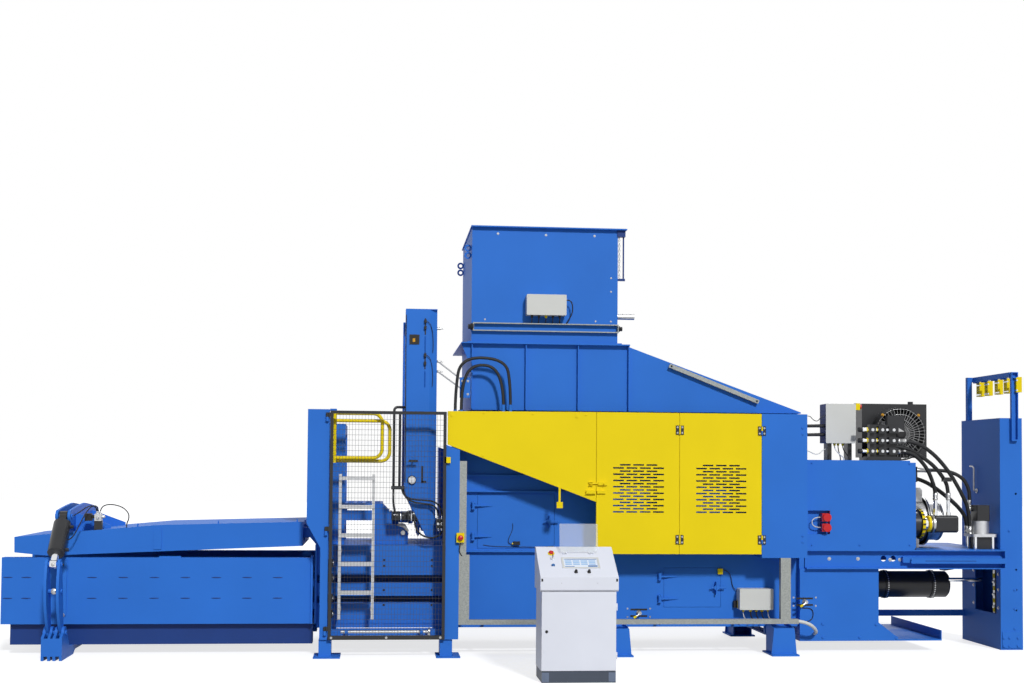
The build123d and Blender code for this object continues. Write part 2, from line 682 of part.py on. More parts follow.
# Needle carriage: a crosshead between the masts, with its needles pointing down.
CARRIAGE_Z = 2330
SHOE_HALF = MAST_FACE - MAST_DEPTH + 60
with BuildPart() as needle_carriage:
    with BuildSketch(crosswise(NEEDLE_X - 55)):
        Polygon(
            (-BALE_HALF + 10, CARRIAGE_Z),
            (-BALE_HALF + 10, CARRIAGE_Z + 180),
            (-300, CARRIAGE_Z + 260),
            (300, CARRIAGE_Z + 260),
            (BALE_HALF - 10, CARRIAGE_Z + 180),
            (BALE_HALF - 10, CARRIAGE_Z),
            align=None,
        )
    extrude(amount=110)
    with BuildSketch(level(CARRIAGE_Z + 10)):
        for side in (-1, 1):
            low = min(side * (BALE_HALF - 10), side * SHOE_HALF)
            area(
                MAST_LEFT + MAST_SHEET + CLEAR,
                MAST_RIGHT - MAST_SHEET - CLEAR,
                low,
                low + SHOE_HALF - BALE_HALF + 10,
            )
    extrude(amount=160)
    for y in needle_rows:
        with BuildSketch(facing(y + NEEDLE_THICK / 2)):
            tip = CARRIAGE_Z - 1190
            with BuildLine():
                Line((NEEDLE_X + NEEDLE_WIDTH, CARRIAGE_Z), (NEEDLE_X - NEEDLE_WIDTH, CARRIAGE_Z))
                ThreePointArc(
                    (NEEDLE_X - NEEDLE_WIDTH, CARRIAGE_Z),
                    (NEEDLE_X - NEEDLE_WIDTH + 12, tip + 600),
                    (NEEDLE_X - 8, tip),
                )
                Line((NEEDLE_X - 8, tip), (NEEDLE_X + 8, tip + 30))
                ThreePointArc(
                    (NEEDLE_X + 8, tip + 30),
                    (NEEDLE_X + NEEDLE_WIDTH - 6, tip + 600),
                    (NEEDLE_X + NEEDLE_WIDTH, CARRIAGE_Z),
                )
            make_face()
            with Locations((NEEDLE_X + 2, tip + 45)):
                Circle(4, mode=Mode.SUBTRACT)
        extrude(amount=NEEDLE_THICK)
finish(needle_carriage, "needle_carriage")

# Twister: a housing across the roof, its shaft with one hook disc per wire, and its motor.
TWIST_LEFT = -1330
TWIST_RIGHT = -1170
TWIST_TOP = 1453
TWIST_X = -1040
TWIST_Z = 1190
TWIST_SHAFT = 22
TWIST_HALF = 500
with BuildPart() as wire_twister:
    with BuildSketch(facing(TWIST_HALF)):
        Polygon(
            (TWIST_LEFT, CHAMBER_TOP),
            (TWIST_LEFT, TWIST_TOP),
            (TWIST_RIGHT - 60, TWIST_TOP),
            (TWIST_RIGHT, TWIST_TOP - 60),
            (TWIST_RIGHT, CHAMBER_TOP),
            align=None,
        )
    extrude(amount=2 * TWIST_HALF)
    for y in (-TWIST_HALF + 20, TWIST_HALF):
        with BuildSketch(facing(y)):
            Polygon(
                (TWIST_RIGHT, CHAMBER_TOP),
                (TWIST_RIGHT, TWIST_Z + 90),
                (TWIST_X, TWIST_Z + 50),
                (TWIST_X + 50, TWIST_Z),
                (TWIST_X + 50, CHAMBER_TOP),
                align=None,
            )
            with Locations((TWIST_X, TWIST_Z)):
                Circle(TWIST_SHAFT + FIT, mode=Mode.SUBTRACT)
        extrude(amount=20)

with BuildPart() as twister_shaft:
    with BuildSketch(facing(TWIST_HALF + 30)):
        with Locations((TWIST_X, TWIST_Z)):
            Circle(TWIST_SHAFT)
    extrude(amount=2 * TWIST_HALF + 60)
    for y in needle_rows:
        with BuildSketch(facing(y + 12)):
            with Locations((TWIST_X, TWIST_Z)):
                Circle(62)
                with Locations((48, 0)):
                    Rectangle(36, 14, mode=Mode.SUBTRACT)
        extrude(amount=24)
finish(twister_shaft, "twister_shaft")

with BuildPart() as twister_motor:
    add(wire_twister.part)
    with BuildSketch(crosswise(TWIST_RIGHT)):
        with Locations((-420, 1345)):
            Rectangle(130, 130)
    extrude(amount=16)
    with BuildSketch(crosswise(TWIST_RIGHT + 16)):
        with Locations((-420, 1345)):
            Circle(58)
    extrude(amount=170)
    with BuildSketch(crosswise(TWIST_RIGHT + 186)):
        with Locations((-420, 1345)):
            Circle(68)
    extrude(amount=44)
    fillet(twister_motor.faces().sort_by(Axis.X)[-1].edges(), 14)
finish(twister_motor, "wire_twister")

# Platform over the twister, reached by the ladder.
with BuildPart() as platform:
    add(tying_roof.part)
    with BuildSketch(level(TWIST_TOP)):
        area(-1627, TWIST_RIGHT - 70, -470, 480)
        area(-1616, TWIST_RIGHT - 80, -460, 470, Mode.SUBTRACT)
    extrude(amount=30)
    with BuildSketch(level(TWIST_TOP + 22)):
        area(-1620, TWIST_RIGHT - 75, -465, 475)
        with Locations((-1435, 5)):
            with GridLocations(90, 150, 4, 6):
                Rectangle(60, 110, mode=Mode.SUBTRACT)
    extrude(amount=8)
    with BuildSketch(facing(-410)):
        area(-1627, TWIST_LEFT, 1310, 1410)
    extrude(amount=60)
    with BuildSketch(facing(-410)):
        area(-1627, -1600, 1410, TWIST_TOP)
    extrude(amount=60)
finish(platform, "tying_roof")

# Ladder: two aluminium channel stringers with ribbed treads, on stand-off brackets.
LADDER_LEFT = -1676
LADDER_RIGHT = -1324
LADDER_FRONT = -900
LADDER_DEPTH = 60
LADDER_LOW = 365
LADDER_HIGH = 1776
TREAD_LOW = 621
TREAD_PITCH = 278
TREADS = 5
with BuildPart() as ladder:
    with BuildSketch(level(LADDER_LOW)):
        for edge, inward in ((LADDER_LEFT, 1), (LADDER_RIGHT, -1)):
            a, b = sorted((edge, edge + inward * 4))
            area(a, b, LADDER_FRONT, LADDER_FRONT + LADDER_DEPTH)
            a, b = sorted((edge, edge + inward * 28))
            area(a, b, LADDER_FRONT, LADDER_FRONT + 4)
            area(a, b, LADDER_FRONT + LADDER_DEPTH - 4, LADDER_FRONT + LADDER_DEPTH)
    extrude(amount=LADDER_HIGH - LADDER_LOW)
    for i in range(TREADS):
        z = TREAD_LOW + i * TREAD_PITCH
        with BuildSketch(crosswise(LADDER_LEFT + 4)):
            area(LADDER_FRONT - 22, LADDER_FRONT + LADDER_DEPTH + 10, z - 16, z + 16)
            area(LADDER_FRONT - 18, LADDER_FRONT + LADDER_DEPTH + 6, z - 12, z + 12, Mode.SUBTRACT)
            for groove in range(6):
                y = LADDER_FRONT - 14 + groove * 15
                area(y, y + 6, z + 12, z + 20)
        extrude(amount=LADDER_RIGHT - LADDER_LEFT - 8)
    for z in (440, 1010):
        for edge in (LADDER_LEFT + 4, LADDER_RIGHT - 34):
            with BuildSketch(level(z)):
                area(edge, edge + 30, LADDER_FRONT + LADDER_DEPTH, -CHANNEL_HALF)
            extrude(amount=34)
finish(ladder, "ladder")

# Safety gate at the head of the ladder: two tube hoops on one hinge tube.
with BuildPart() as ladder_gate:
    for reach, low, high, y, bend in ((470, 1935, 2372, GATE_Y, 90), (545, 1905, 2302, GATE_Y + 60, 90)):
        with BuildLine() as hoop:
            FilletPolyline(
                (GATE_X, y, low),
                (GATE_X + reach, y, low),
                (GATE_X + reach, y, high),
                (GATE_X, y, high),
                radius=bend,
            )
        with BuildSketch(Plane((GATE_X, y, low), x_dir=(0, 1, 0), z_dir=(1, 0, 0))):
            Circle(GATE_TUBE)
        sweep(path=hoop.line)
    with BuildSketch(level(1885)):
        with Locations((GATE_X, GATE_Y + 30)):
            RectangleRounded(44, 100, 15)
    extrude(amount=510)
    with BuildSketch(level(1885)):
        with Locations((GATE_X, GATE_Y + 30)):
            Circle(12 + FIT)
    extrude(amount=510, mode=Mode.SUBTRACT)
finish(ladder_gate, "ladder_gate")

# Mesh door: a welded frame with a wire panel, hung on the left column.
MESH_LEFT = -1762
MESH_RIGHT = -634
MESH_LOW = 177
MESH_HIGH = 2392
MESH_BACK = -954
MESH_TUBE = 30
with BuildPart() as mesh_door:
    with BuildSketch(facing(MESH_BACK)):
        area(MESH_LEFT, MESH_RIGHT, MESH_LOW, MESH_HIGH)
        area(
            MESH_LEFT + MESH_TUBE,
            MESH_RIGHT - MESH_TUBE,
            MESH_LOW + 40,
            MESH_HIGH - MESH_TUBE,
            Mode.SUBTRACT,
        )
    extrude(amount=MESH_TUBE)
    for z in MESH_HINGES:
        with BuildSketch(level(z)):
            with Locations(MESH_PIVOT):
                Circle(KNUCKLE)
            area(MESH_PIVOT[0], MESH_LEFT, MESH_PIVOT[1] - 6, MESH_PIVOT[1] + 6)
            with Locations(MESH_PIVOT):
                Circle(8 + FIT, mode=Mode.SUBTRACT)
        extrude(amount=KNUCKLE_HEIGHT)
    with BuildSketch(facing(MESH_BACK - MESH_TUBE)):
        area(MESH_RIGHT - 26, MESH_RIGHT - 6, 1120, 1280)
    extrude(amount=12)
finish(mesh_door, "mesh_door")

MESH_COLUMNS = 8
MESH_ROWS = 15
MESH_WIRE = 5
with BuildPart() as door_mesh:
    width = MESH_RIGHT - MESH_LEFT - 2 * MESH_TUBE
    height = MESH_HIGH - MESH_LOW - MESH_TUBE - 40
    middle = ((MESH_LEFT + MESH_RIGHT) / 2, MESH_LOW + 40 + height / 2)
    with BuildSketch(facing(MESH_BACK - 12)):
        with Locations(middle):
            Rectangle(width, height)
            with GridLocations(width / MESH_COLUMNS, height / MESH_ROWS, MESH_COLUMNS, MESH_ROWS):
                Rectangle(
                    width / MESH_COLUMNS - MESH_WIRE,
                    height / MESH_ROWS - MESH_WIRE,
                    mode=Mode.SUBTRACT,
                )
    extrude(amount=MESH_WIRE)
finish(door_mesh, "door_mesh")

# Wire shaft at the foot of the tying section, in two bearings on the sill.
with BuildPart() as wire_shaft:
    with BuildSketch(crosswise(-1640)):
        with Locations((WIRE_SHAFT_Y, WIRE_SHAFT_Z)):
            Circle(14)
    extrude(amount=845)
    with BuildSketch(crosswise(-795)):
        with Locations((WIRE_SHAFT_Y, WIRE_SHAFT_Z)):
            Circle(38)
    extrude(amount=26)
    chamfer(wire_shaft.edges().filter_by(GeomType.CIRCLE).filter_by(lambda edge: edge.radius == 38), 4)
finish(wire_shaft, "wire_shaft")

# Press chamber: two side walls on one long floor, which also carries the tying section.
HATCHES = {"upper": (-300, 480, 1040, 1590), "lower": (1600, 2190, 450, 850)}
HATCH_GAP = 3
FLAP_X = 1255
FLAP_Z = 1120
FLAP_SHAFT = 32
STRAP_BACK = 45
STRAP_Y = -WALL_FACE - 26
KNUCKLE_HALF = 26
HATCH_PIN = 8
EAR = 12


def hatch_hinges(low, high):
    """Heights of a hatch's two hinges."""
    inset = 0.22 * (high - low)
    return (low + inset, high - inset)


RAIL_DEPTH = (-GUARD_FACE + 40, -GUARD_FACE + 76)
RAIL_HEIGHT = (2360, 2396)
TRUNK_LOW = 315
ARCH_Y = -GUARD_FACE + 58
ARCH_ENDS = {-547: 2416, -488: 2416, -72: 2472, -2: 2472}
with BuildPart() as chamber_walls:
    with BuildSketch(facing(-BALE_HALF)):
        area(TYING_RIGHT, CHAMBER_RIGHT, CHANNEL_BOTTOM, WALL_TOP)
        with Locations((FLAP_X, FLAP_Z)):
            Circle(FLAP_SHAFT + FIT, mode=Mode.SUBTRACT)
    extrude(amount=WALL_FACE - BALE_HALF)
    with BuildSketch(facing(-WALL_FACE)):
        for z in (1014, 1770):
            area(TYING_RIGHT + 20, DOOR_LEFT, z - 8, z + 8)
        area(TYING_RIGHT + 20, DOOR_LEFT, 1606, 1618)
        for x in (2400, 2730):
            area(x, x + 40, 1090, WALL_TOP)
    extrude(amount=45)
    mirror(about=Plane.XZ)
    with BuildSketch(crosswise(GUARD_LEFT)):
        area(*RAIL_DEPTH, *RAIL_HEIGHT)
    extrude(amount=DOOR_RIGHT + 2 - GUARD_LEFT)
    for x in ARCH_ENDS:
        with BuildSketch(level(RAIL_HEIGHT[1])):
            with Locations((x, ARCH_Y)):
                Circle(17)
        extrude(amount=ARCH_ENDS[x] - RAIL_HEIGHT[1])
    with BuildSketch(facing(RAIL_DEPTH[1])):
        area(DOOR_LEFT - 36, DOOR_LEFT, 1540, RAIL_HEIGHT[0])
    extrude(amount=RAIL_DEPTH[1] - RAIL_DEPTH[0])
    with BuildSketch(facing(-WALL_FACE)):
        for x in (-480, 300, DOOR_LEFT - 36, 1500, 2200):
            area(x, x + 36, *RAIL_HEIGHT)
        area(DOOR_LEFT - 36, DOOR_LEFT, 1540, 1576)
    extrude(amount=-WALL_FACE - RAIL_DEPTH[1])
    with BuildSketch(facing(-WALL_FACE)):
        for x in (-250, 700, 1500, 2300):
            area(x, x + 30, TRUNK_LOW - 12, TRUNK_LOW)
    extrude(amount=GUARD_FACE - WALL_FACE)
    for left, right, low, high in HATCHES.values():
        for z in hatch_hinges(low, high):
            for ear in (z - KNUCKLE_HALF - CLEAR - EAR, z + KNUCKLE_HALF + CLEAR):
                with BuildSketch(level(ear)):
                    area(left - STRAP_BACK - 16, left - STRAP_BACK + 16, STRAP_Y - 16, -WALL_FACE)
                extrude(amount=EAR)
            with BuildSketch(level(z - KNUCKLE_HALF - EAR)):
                with Locations((left - STRAP_BACK, STRAP_Y)):
                    Circle(HATCH_PIN)
            extrude(amount=2 * (KNUCKLE_HALF + EAR))
    with BuildSketch(facing(-BALE_HALF + 1)):
        for left, right, low, high in HATCHES.values():
            area(left, right, low, high)
    extrude(amount=WALL_FACE - BALE_HALF + 2, mode=Mode.SUBTRACT)
finish(chamber_walls, "chamber_walls")

# Chamber floor: one long plate on two box beams, with flared feet, under the chamber
# and the tying section. It has a slot for each needle.
FOOT_PLACES = (1085, 2755)
FOOT_HEIGHT = 270
BEAM_LOW = 258
with BuildPart() as chamber_floor:
    with BuildSketch(level(CHANNEL_BOTTOM)):
        area(TYING_LEFT + 21, CHAMBER_RIGHT, -BALE_HALF + CLEAR, BALE_HALF - CLEAR)
        for y in needle_rows:
            area(NEEDLE_X - 60, NEEDLE_X + 60, y - 20, y + 20, Mode.SUBTRACT)
    extrude(amount=FLOOR_PLATE)
    for side in (-1, 1):
        low = min(side * 655, side * 455)
        with BuildSketch(crosswise(TYING_LEFT + 21)):
            area(low, low + 200, BEAM_LOW, CHANNEL_BOTTOM)
            area(low + 8, low + 192, BEAM_LOW + 8, CHANNEL_BOTTOM - 8, Mode.SUBTRACT)
        extrude(amount=CHAMBER_RIGHT - TYING_LEFT - 21)
    for x in FOOT_PLACES:
        for side in (-1, 1):
            outer = side * 1010
            inner = side * 655
            with BuildSketch(level(0)):
                low, high = sorted((outer, side * 640))
                area(x - 138, x + 138, low, high)
                with Locations((x - 112, outer - side * 45), (x + 112, outer - side * 45)):
                    Circle(13, mode=Mode.SUBTRACT)
            extrude(amount=16)
            with BuildSketch(facing(outer - side * 75 if side < 0 else outer - 63)):
                Polygon(
                    (x - 128, 16),
                    (x + 128, 16),
                    (x + 104, FOOT_HEIGHT),
                    (x - 104, FOOT_HEIGHT),
                    align=None,
                )
            extrude(amount=12)
            for edge in (-1, 1):
                with BuildSketch(crosswise(x + edge * 98 - 6)):
                    Polygon(
                        (outer - side * 60, 16),
                        (inner, 16),
                        (inner, CHANNEL_BOTTOM),
                        (inner + side * 90, CHANNEL_BOTTOM),
                        (outer - side * 68, FOOT_HEIGHT),
                        align=None,
                    )
                extrude(amount=12)
            with BuildSketch(level(FOOT_HEIGHT - 12)):
                low, high = sorted((outer - side * 70, inner))
                area(x - 104, x + 104, low, high)
            extrude(amount=12)
        with BuildSketch(crosswise(x - 60)):
            area(-455, 455, CHANNEL_BOTTOM - 150, CHANNEL_BOTTOM)
            area(-400, 400, CHANNEL_BOTTOM - 135, CHANNEL_BOTTOM - 20, Mode.SUBTRACT)
        extrude(amount=120)
finish(chamber_floor, "chamber_floor")

# Hatches in the operator's side wall, on strap hinges, each with a screw handle.
for label in HATCHES:
    left, right, low, high = HATCHES[label]
    pivot = (left - STRAP_BACK, STRAP_Y)
    with BuildPart() as hatch:
        with BuildSketch(facing(-WALL_FACE + 24)):
            area(left + HATCH_GAP, right - HATCH_GAP, low + HATCH_GAP, high - HATCH_GAP)
        extrude(amount=24)
        for z in hatch_hinges(low, high):
            with BuildSketch(level(z - 7)):
                with BuildLine():
                    Polyline(
                        (pivot[0], STRAP_Y - 14),
                        (left + 150, -WALL_FACE - 4),
                        (left + 150, -WALL_FACE),
                        (left + HATCH_GAP, -WALL_FACE),
                        (left + HATCH_GAP, STRAP_Y + 14),
                        (pivot[0], STRAP_Y + 14),
                        (pivot[0], STRAP_Y - 14),
                    )
                make_face()
            extrude(amount=14)
            with BuildSketch(level(z - KNUCKLE_HALF)):
                with Locations(pivot):
                    Circle(16)
            extrude(amount=2 * KNUCKLE_HALF)
            with BuildSketch(level(z - KNUCKLE_HALF)):
                with Locations(pivot):
                    Circle(HATCH_PIN + FIT)
            extrude(amount=2 * KNUCKLE_HALF, mode=Mode.SUBTRACT)
        middle = (low + high) / 2
        with BuildSketch(facing(-WALL_FACE)):
            area(right - 60, right - 48, middle - 60, middle + 60)
        extrude(amount=55)
        with BuildSketch(facing(-WALL_FACE - 30)):
            with Locations((right - 54, middle)):
                Circle(26)
        extrude(amount=20)
        with BuildSketch(crosswise(right - 110)):
            with Locations((-WALL_FACE - 40, middle)):
                Circle(8)
        extrude(amount=150)
    finish(hatch, f"{label}_hatch")

# Roof of the chamber behind the flap, with the anchors of the pre-press cylinders.
ANCHOR_X = 2700
ANCHOR_Z = 1500
PRESS_CYLINDERS = (-280, 280)
PRESS_PIN = 30
with BuildPart() as chamber_roof:
    with BuildSketch(level(CHAMBER_TOP - FLOOR_PLATE)):
        area(FLAP_X + 45, CHAMBER_RIGHT, -BALE_HALF + CLEAR, BALE_HALF - CLEAR)
    extrude(amount=FLOOR_PLATE)
    for y in PRESS_CYLINDERS:
        for low in (y - 85, y + 55):
            with BuildSketch(facing(low + 30)):
                with BuildLine():
                    left_low = (ANCHOR_X - 60, ANCHOR_Z)
                    right_low = (ANCHOR_X + 60, ANCHOR_Z)
                    Polyline(
                        left_low,
                        (ANCHOR_X - 150, CHAMBER_TOP),
                        (ANCHOR_X + 220, CHAMBER_TOP),
                        right_low,
                    )
                    ThreePointArc(right_low, (ANCHOR_X, ANCHOR_Z + 60), left_low)
                make_face()
            extrude(amount=30)
        with BuildSketch(facing(y + 90)):
            with Locations((ANCHOR_X, ANCHOR_Z)):
                Circle(PRESS_PIN)
        extrude(amount=180)
finish(chamber_roof, "chamber_roof")

# Pre-press flap: a ribbed plate on a cross shaft. It closes the chamber from above.
FLAP_LENGTH = 1570
FLAP_FACE = 45
FLAP_PLATE = 25
FLAP_HALF = BALE_HALF - 4
LUG_OUT = 105
LUG_UP = 800
with BuildPart() as prepress_flap:
    with BuildSketch(facing(FLAP_HALF)):
        area(FLAP_X - FLAP_FACE, FLAP_X - FLAP_FACE + FLAP_PLATE, FLAP_Z, FLAP_Z + FLAP_LENGTH)
    extrude(amount=2 * FLAP_HALF)
    for y in (-FLAP_HALF, -170, -20, 150, FLAP_HALF - 20):
        with BuildSketch(facing(y + 20)):
            Polygon(
                (FLAP_X - FLAP_FACE + FLAP_PLATE, FLAP_Z - 20),
                (FLAP_X + 40, FLAP_Z),
                (FLAP_X + 75, FLAP_Z + 500),
                (FLAP_X - 5, FLAP_Z + FLAP_LENGTH - 30),
                (FLAP_X - FLAP_FACE + FLAP_PLATE, FLAP_Z + FLAP_LENGTH - 30),
                align=None,
            )
        extrude(amount=20)
    with BuildSketch(facing(FLAP_HALF)):
        with Locations((FLAP_X, FLAP_Z)):
            Circle(44)
    extrude(amount=2 * FLAP_HALF)
    with BuildSketch(facing(WALL_FACE - 5)):
        with Locations((FLAP_X, FLAP_Z)):
            Circle(FLAP_SHAFT)
    extrude(amount=2 * (WALL_FACE - 5))
    for y in PRESS_CYLINDERS:
        for low in (y - 65, y + 45):
            with BuildSketch(facing(low + 20)):
                Polygon(
                    (FLAP_X - FLAP_FACE + FLAP_PLATE, FLAP_Z + LUG_UP - 140),
                    (FLAP_X + LUG_OUT + 45, FLAP_Z + LUG_UP - 40),
                    (FLAP_X + LUG_OUT + 45, FLAP_Z + LUG_UP + 40),
                    (FLAP_X - FLAP_FACE + FLAP_PLATE, FLAP_Z + LUG_UP + 140),
                    align=None,
                )
            extrude(amount=20)
finish(prepress_flap, "prepress_flap")

# Pre-press cylinders: each barrel turns on its anchor, each rod pushes between two lugs.
lug_x = FLAP_X + LUG_OUT
lug_z = FLAP_Z + LUG_UP
press_run = hypot(ANCHOR_X - lug_x, lug_z - ANCHOR_Z)
PRESS_BORE = 75
PRESS_ROD = 40
PRESS_BARREL = 1190
towards = Vector(lug_x - ANCHOR_X, 0, lug_z - ANCHOR_Z).normalized()
with BuildPart() as prepress_barrels:
    for y in PRESS_CYLINDERS:
        start = Vector(ANCHOR_X, y, ANCHOR_Z)
        with BuildSketch(facing(y + 50)):
            with Locations((ANCHOR_X, ANCHOR_Z)):
                Circle(58)
        extrude(amount=100)
        with BuildSketch(Plane(start + towards * 20, x_dir=(0, 1, 0), z_dir=towards)):
            Rectangle(96, 96)
        extrude(amount=120)
        with BuildSketch(Plane(start + towards * 110, x_dir=(0, 1, 0), z_dir=towards)):
            Circle(PRESS_BORE + 12)
        extrude(amount=PRESS_BARREL - 110)
        with BuildSketch(facing(y + 100)):
            with Locations((ANCHOR_X, ANCHOR_Z)):
                Circle(PRESS_PIN + FIT)
        extrude(amount=200, mode=Mode.SUBTRACT)
        with BuildSketch(Plane(start + towards * 150, x_dir=(0, 1, 0), z_dir=towards)):
            Circle(PRESS_ROD + FIT)
        extrude(amount=PRESS_BARREL, mode=Mode.SUBTRACT)
finish(prepress_barrels, "prepress_barrels")
with BuildPart() as prepress_rods:
    for y in PRESS_CYLINDERS:
        start = Vector(ANCHOR_X, y, ANCHOR_Z)
        with BuildSketch(Plane(start + towards * 155, x_dir=(0, 1, 0), z_dir=towards)):
            Circle(PRESS_ROD)
        extrude(amount=press_run - 155)
        with BuildSketch(facing(y + 35)):
            with Locations((lug_x, lug_z)):
                Circle(42)
        extrude(amount=70)
finish(prepress_rods, "prepress_rods")

# Charging hopper: four folded sheets with a rim, on the flange of the chute.
FLANGE_Z = 3085
RIM = 44
LIFTING_EYE = 36
LIFTING_BORE = 18
with BuildPart() as hopper:
    with BuildSketch(level(FLANGE_Z + 12)):
        area(SHAFT_LEFT, HOPPER_RIGHT, -SHAFT_HALF, SHAFT_HALF)
        area(
            SHAFT_LEFT + SHAFT_SHEET,
            HOPPER_RIGHT - SHAFT_SHEET,
            -SHAFT_HALF + SHAFT_SHEET,
            SHAFT_HALF - SHAFT_SHEET,
            Mode.SUBTRACT,
        )
    extrude(amount=HOPPER_TOP - FLANGE_Z - 12)
    with BuildSketch(level(HOPPER_TOP)):
        area(SHAFT_LEFT - 12, HOPPER_RIGHT + 2 * RIM, -SHAFT_HALF - RIM, SHAFT_HALF + RIM)
        area(
            SHAFT_LEFT + SHAFT_SHEET,
            HOPPER_RIGHT - SHAFT_SHEET,
            -SHAFT_HALF + SHAFT_SHEET,
            SHAFT_HALF - SHAFT_SHEET,
            Mode.SUBTRACT,
        )
    extrude(amount=12)
    with BuildSketch(level(FLANGE_Z + 12)):
        area(SHAFT_LEFT - 40, HOPPER_RIGHT + 40, -SHAFT_HALF - 34, SHAFT_HALF + 34)
        area(SHAFT_LEFT, HOPPER_RIGHT, -SHAFT_HALF, SHAFT_HALF, Mode.SUBTRACT)
    extrude(amount=12)
    with BuildSketch(facing(-SHAFT_HALF)):
        area(SHAFT_LEFT + 12, HOPPER_RIGHT + 6, 3212, 3296)
        area(SHAFT_LEFT + 22, HOPPER_RIGHT - 4, 3222, 3286, Mode.SUBTRACT)
    extrude(amount=44)
    with BuildSketch(crosswise(HOPPER_RIGHT)):
        with Locations((-SHAFT_HALF + 90, 3390)):
            Circle(30)
            Circle(24, mode=Mode.SUBTRACT)
    extrude(amount=185)
    for y in (-SHAFT_HALF + 120, SHAFT_HALF - 120):
        with BuildSketch(facing(y)):
            with Locations((SHAFT_LEFT - 34, 4060), (SHAFT_LEFT - 34, 3985)):
                Circle(LIFTING_EYE)
                Circle(LIFTING_BORE, mode=Mode.SUBTRACT)
        extrude(amount=12)
finish(hopper, "hopper")

# Chute between hopper and chamber: outer sheets with ribs, and a left wall down inside.
CHUTE_BASE = WALL_TOP
CHUTE_RIBS = (SHAFT_LEFT + 2, 158, 684, SHAFT_RIGHT - 2)
with BuildPart() as charge_chute:
    with BuildSketch(level(CHUTE_BASE)):
        area(SHAFT_LEFT, SHAFT_RIGHT + 10, -SHAFT_HALF, SHAFT_HALF)
        area(SHAFT_LEFT + SHAFT_SHEET, SHAFT_RIGHT + 10, -BALE_HALF, BALE_HALF, Mode.SUBTRACT)
    extrude(amount=12)
    with BuildSketch(level(CHUTE_BASE + 12)):
        area(SHAFT_LEFT, SHAFT_RIGHT + 10, -SHAFT_HALF, SHAFT_HALF)
        area(
            SHAFT_LEFT + SHAFT_SHEET,
            SHAFT_RIGHT + 10,
            -SHAFT_HALF + SHAFT_SHEET,
            SHAFT_HALF - SHAFT_SHEET,
            Mode.SUBTRACT,
        )
    extrude(amount=FLANGE_Z - CHUTE_BASE - 12)
    with BuildSketch(level(FLANGE_Z)):
        area(SHAFT_LEFT - 100, SHAFT_RIGHT + 10, -SHAFT_HALF - 55, SHAFT_HALF + 55)
        area(
            SHAFT_LEFT + SHAFT_SHEET,
            HOPPER_RIGHT,
            -SHAFT_HALF + SHAFT_SHEET,
            SHAFT_HALF - SHAFT_SHEET,
            Mode.SUBTRACT,
        )
    extrude(amount=12)
    with BuildSketch(crosswise(SHAFT_LEFT)):
        area(-BALE_HALF + CLEAR, BALE_HALF - CLEAR, CHAMBER_TOP, CHUTE_BASE + 12)
    extrude(amount=SHAFT_SHEET)
    with BuildSketch(facing(-SHAFT_HALF)):
        for x in CHUTE_RIBS:
            area(x, x + 10, CHUTE_BASE + 12, FLANGE_Z)
    extrude(amount=40)
    mirror(about=Plane.XZ)
    with BuildSketch(facing(-SHAFT_HALF)):
        Polygon(
            (SHAFT_LEFT - 98, FLANGE_Z),
            (SHAFT_LEFT, FLANGE_Z),
            (SHAFT_LEFT, FLANGE_Z - 145),
            (SHAFT_LEFT - 40, FLANGE_Z - 145),
            align=None,
        )
    extrude(amount=-10)
finish(charge_chute, "charge_chute")

# Inclined hood over the pre-press flap's cylinders.
HOOD_SHEET = 6
hood_profile = [
    (SHAFT_RIGHT + 10, CHUTE_BASE + 12),
    (SHAFT_RIGHT + 10, CHUTE_TOP),
    (HOOD_RIGHT, CHUTE_BASE + 12),
]
with BuildPart() as prepress_hood:
    with BuildSketch(facing(SHAFT_HALF)):
        Polygon(*hood_profile, align=None)
    extrude(amount=2 * SHAFT_HALF)
    with BuildSketch(facing(SHAFT_HALF - HOOD_SHEET)):
        Polygon(
            (SHAFT_RIGHT, CHUTE_BASE),
            (SHAFT_RIGHT, CHUTE_TOP - HOOD_SHEET + 5),
            (HOOD_RIGHT - 20, CHUTE_BASE + 12),
            (HOOD_RIGHT - 20, CHUTE_BASE),
            align=None,
        )
    extrude(amount=2 * (SHAFT_HALF - HOOD_SHEET), mode=Mode.SUBTRACT)
    with BuildSketch(level(CHUTE_BASE)):
        area(SHAFT_RIGHT + 10, HOOD_RIGHT, -SHAFT_HALF, SHAFT_HALF)
        area(SHAFT_RIGHT + 10, HOOD_RIGHT - 60, -BALE_HALF, BALE_HALF, Mode.SUBTRACT)
    extrude(amount=12)
finish(prepress_hood, "prepress_hood")

# Fixed guard in front of the chamber: a folded sheet with a sloped lower edge. It carries
# the keeper for the door's bolt and the fixed half of the safety switch.
guard_outline = [(GUARD_LEFT, 2401), (DOOR_LEFT - 4, GUARD_TOP), (DOOR_LEFT - 4, 1520), (GUARD_LEFT, 2073)]
LATCH_Z = 1700
SWITCH_Z = 1617
with BuildPart() as side_guard:
    with BuildSketch(facing(-GUARD_FACE + 40)):
        Polygon(*guard_outline, align=None)
    extrude(amount=40)
    with BuildSketch(facing(-GUARD_FACE + 40)):
        Polygon(*guard_outline, align=None)
        offset(amount=-GUARD_SHEET, kind=Kind.INTERSECTION, mode=Mode.REPLACE)
    extrude(amount=40 - GUARD_SHEET, mode=Mode.SUBTRACT)
    with BuildSketch(facing(-GUARD_FACE)):
        area(775, 815, LATCH_Z + 11, LATCH_Z + 17)
        area(775, 815, LATCH_Z - 17, LATCH_Z - 11)
    extrude(amount=26)
    with BuildSketch(facing(-GUARD_FACE)):
        area(748, 842, SWITCH_Z - 17, SWITCH_Z + 17)
    extrude(amount=28)
    with BuildSketch(facing(-GUARD_FACE)):
        for x in (-585, 655):
            area(x - 12, x + 12, 2350, 2395)
    extrude(amount=6)
finish(side_guard, "side_guard")

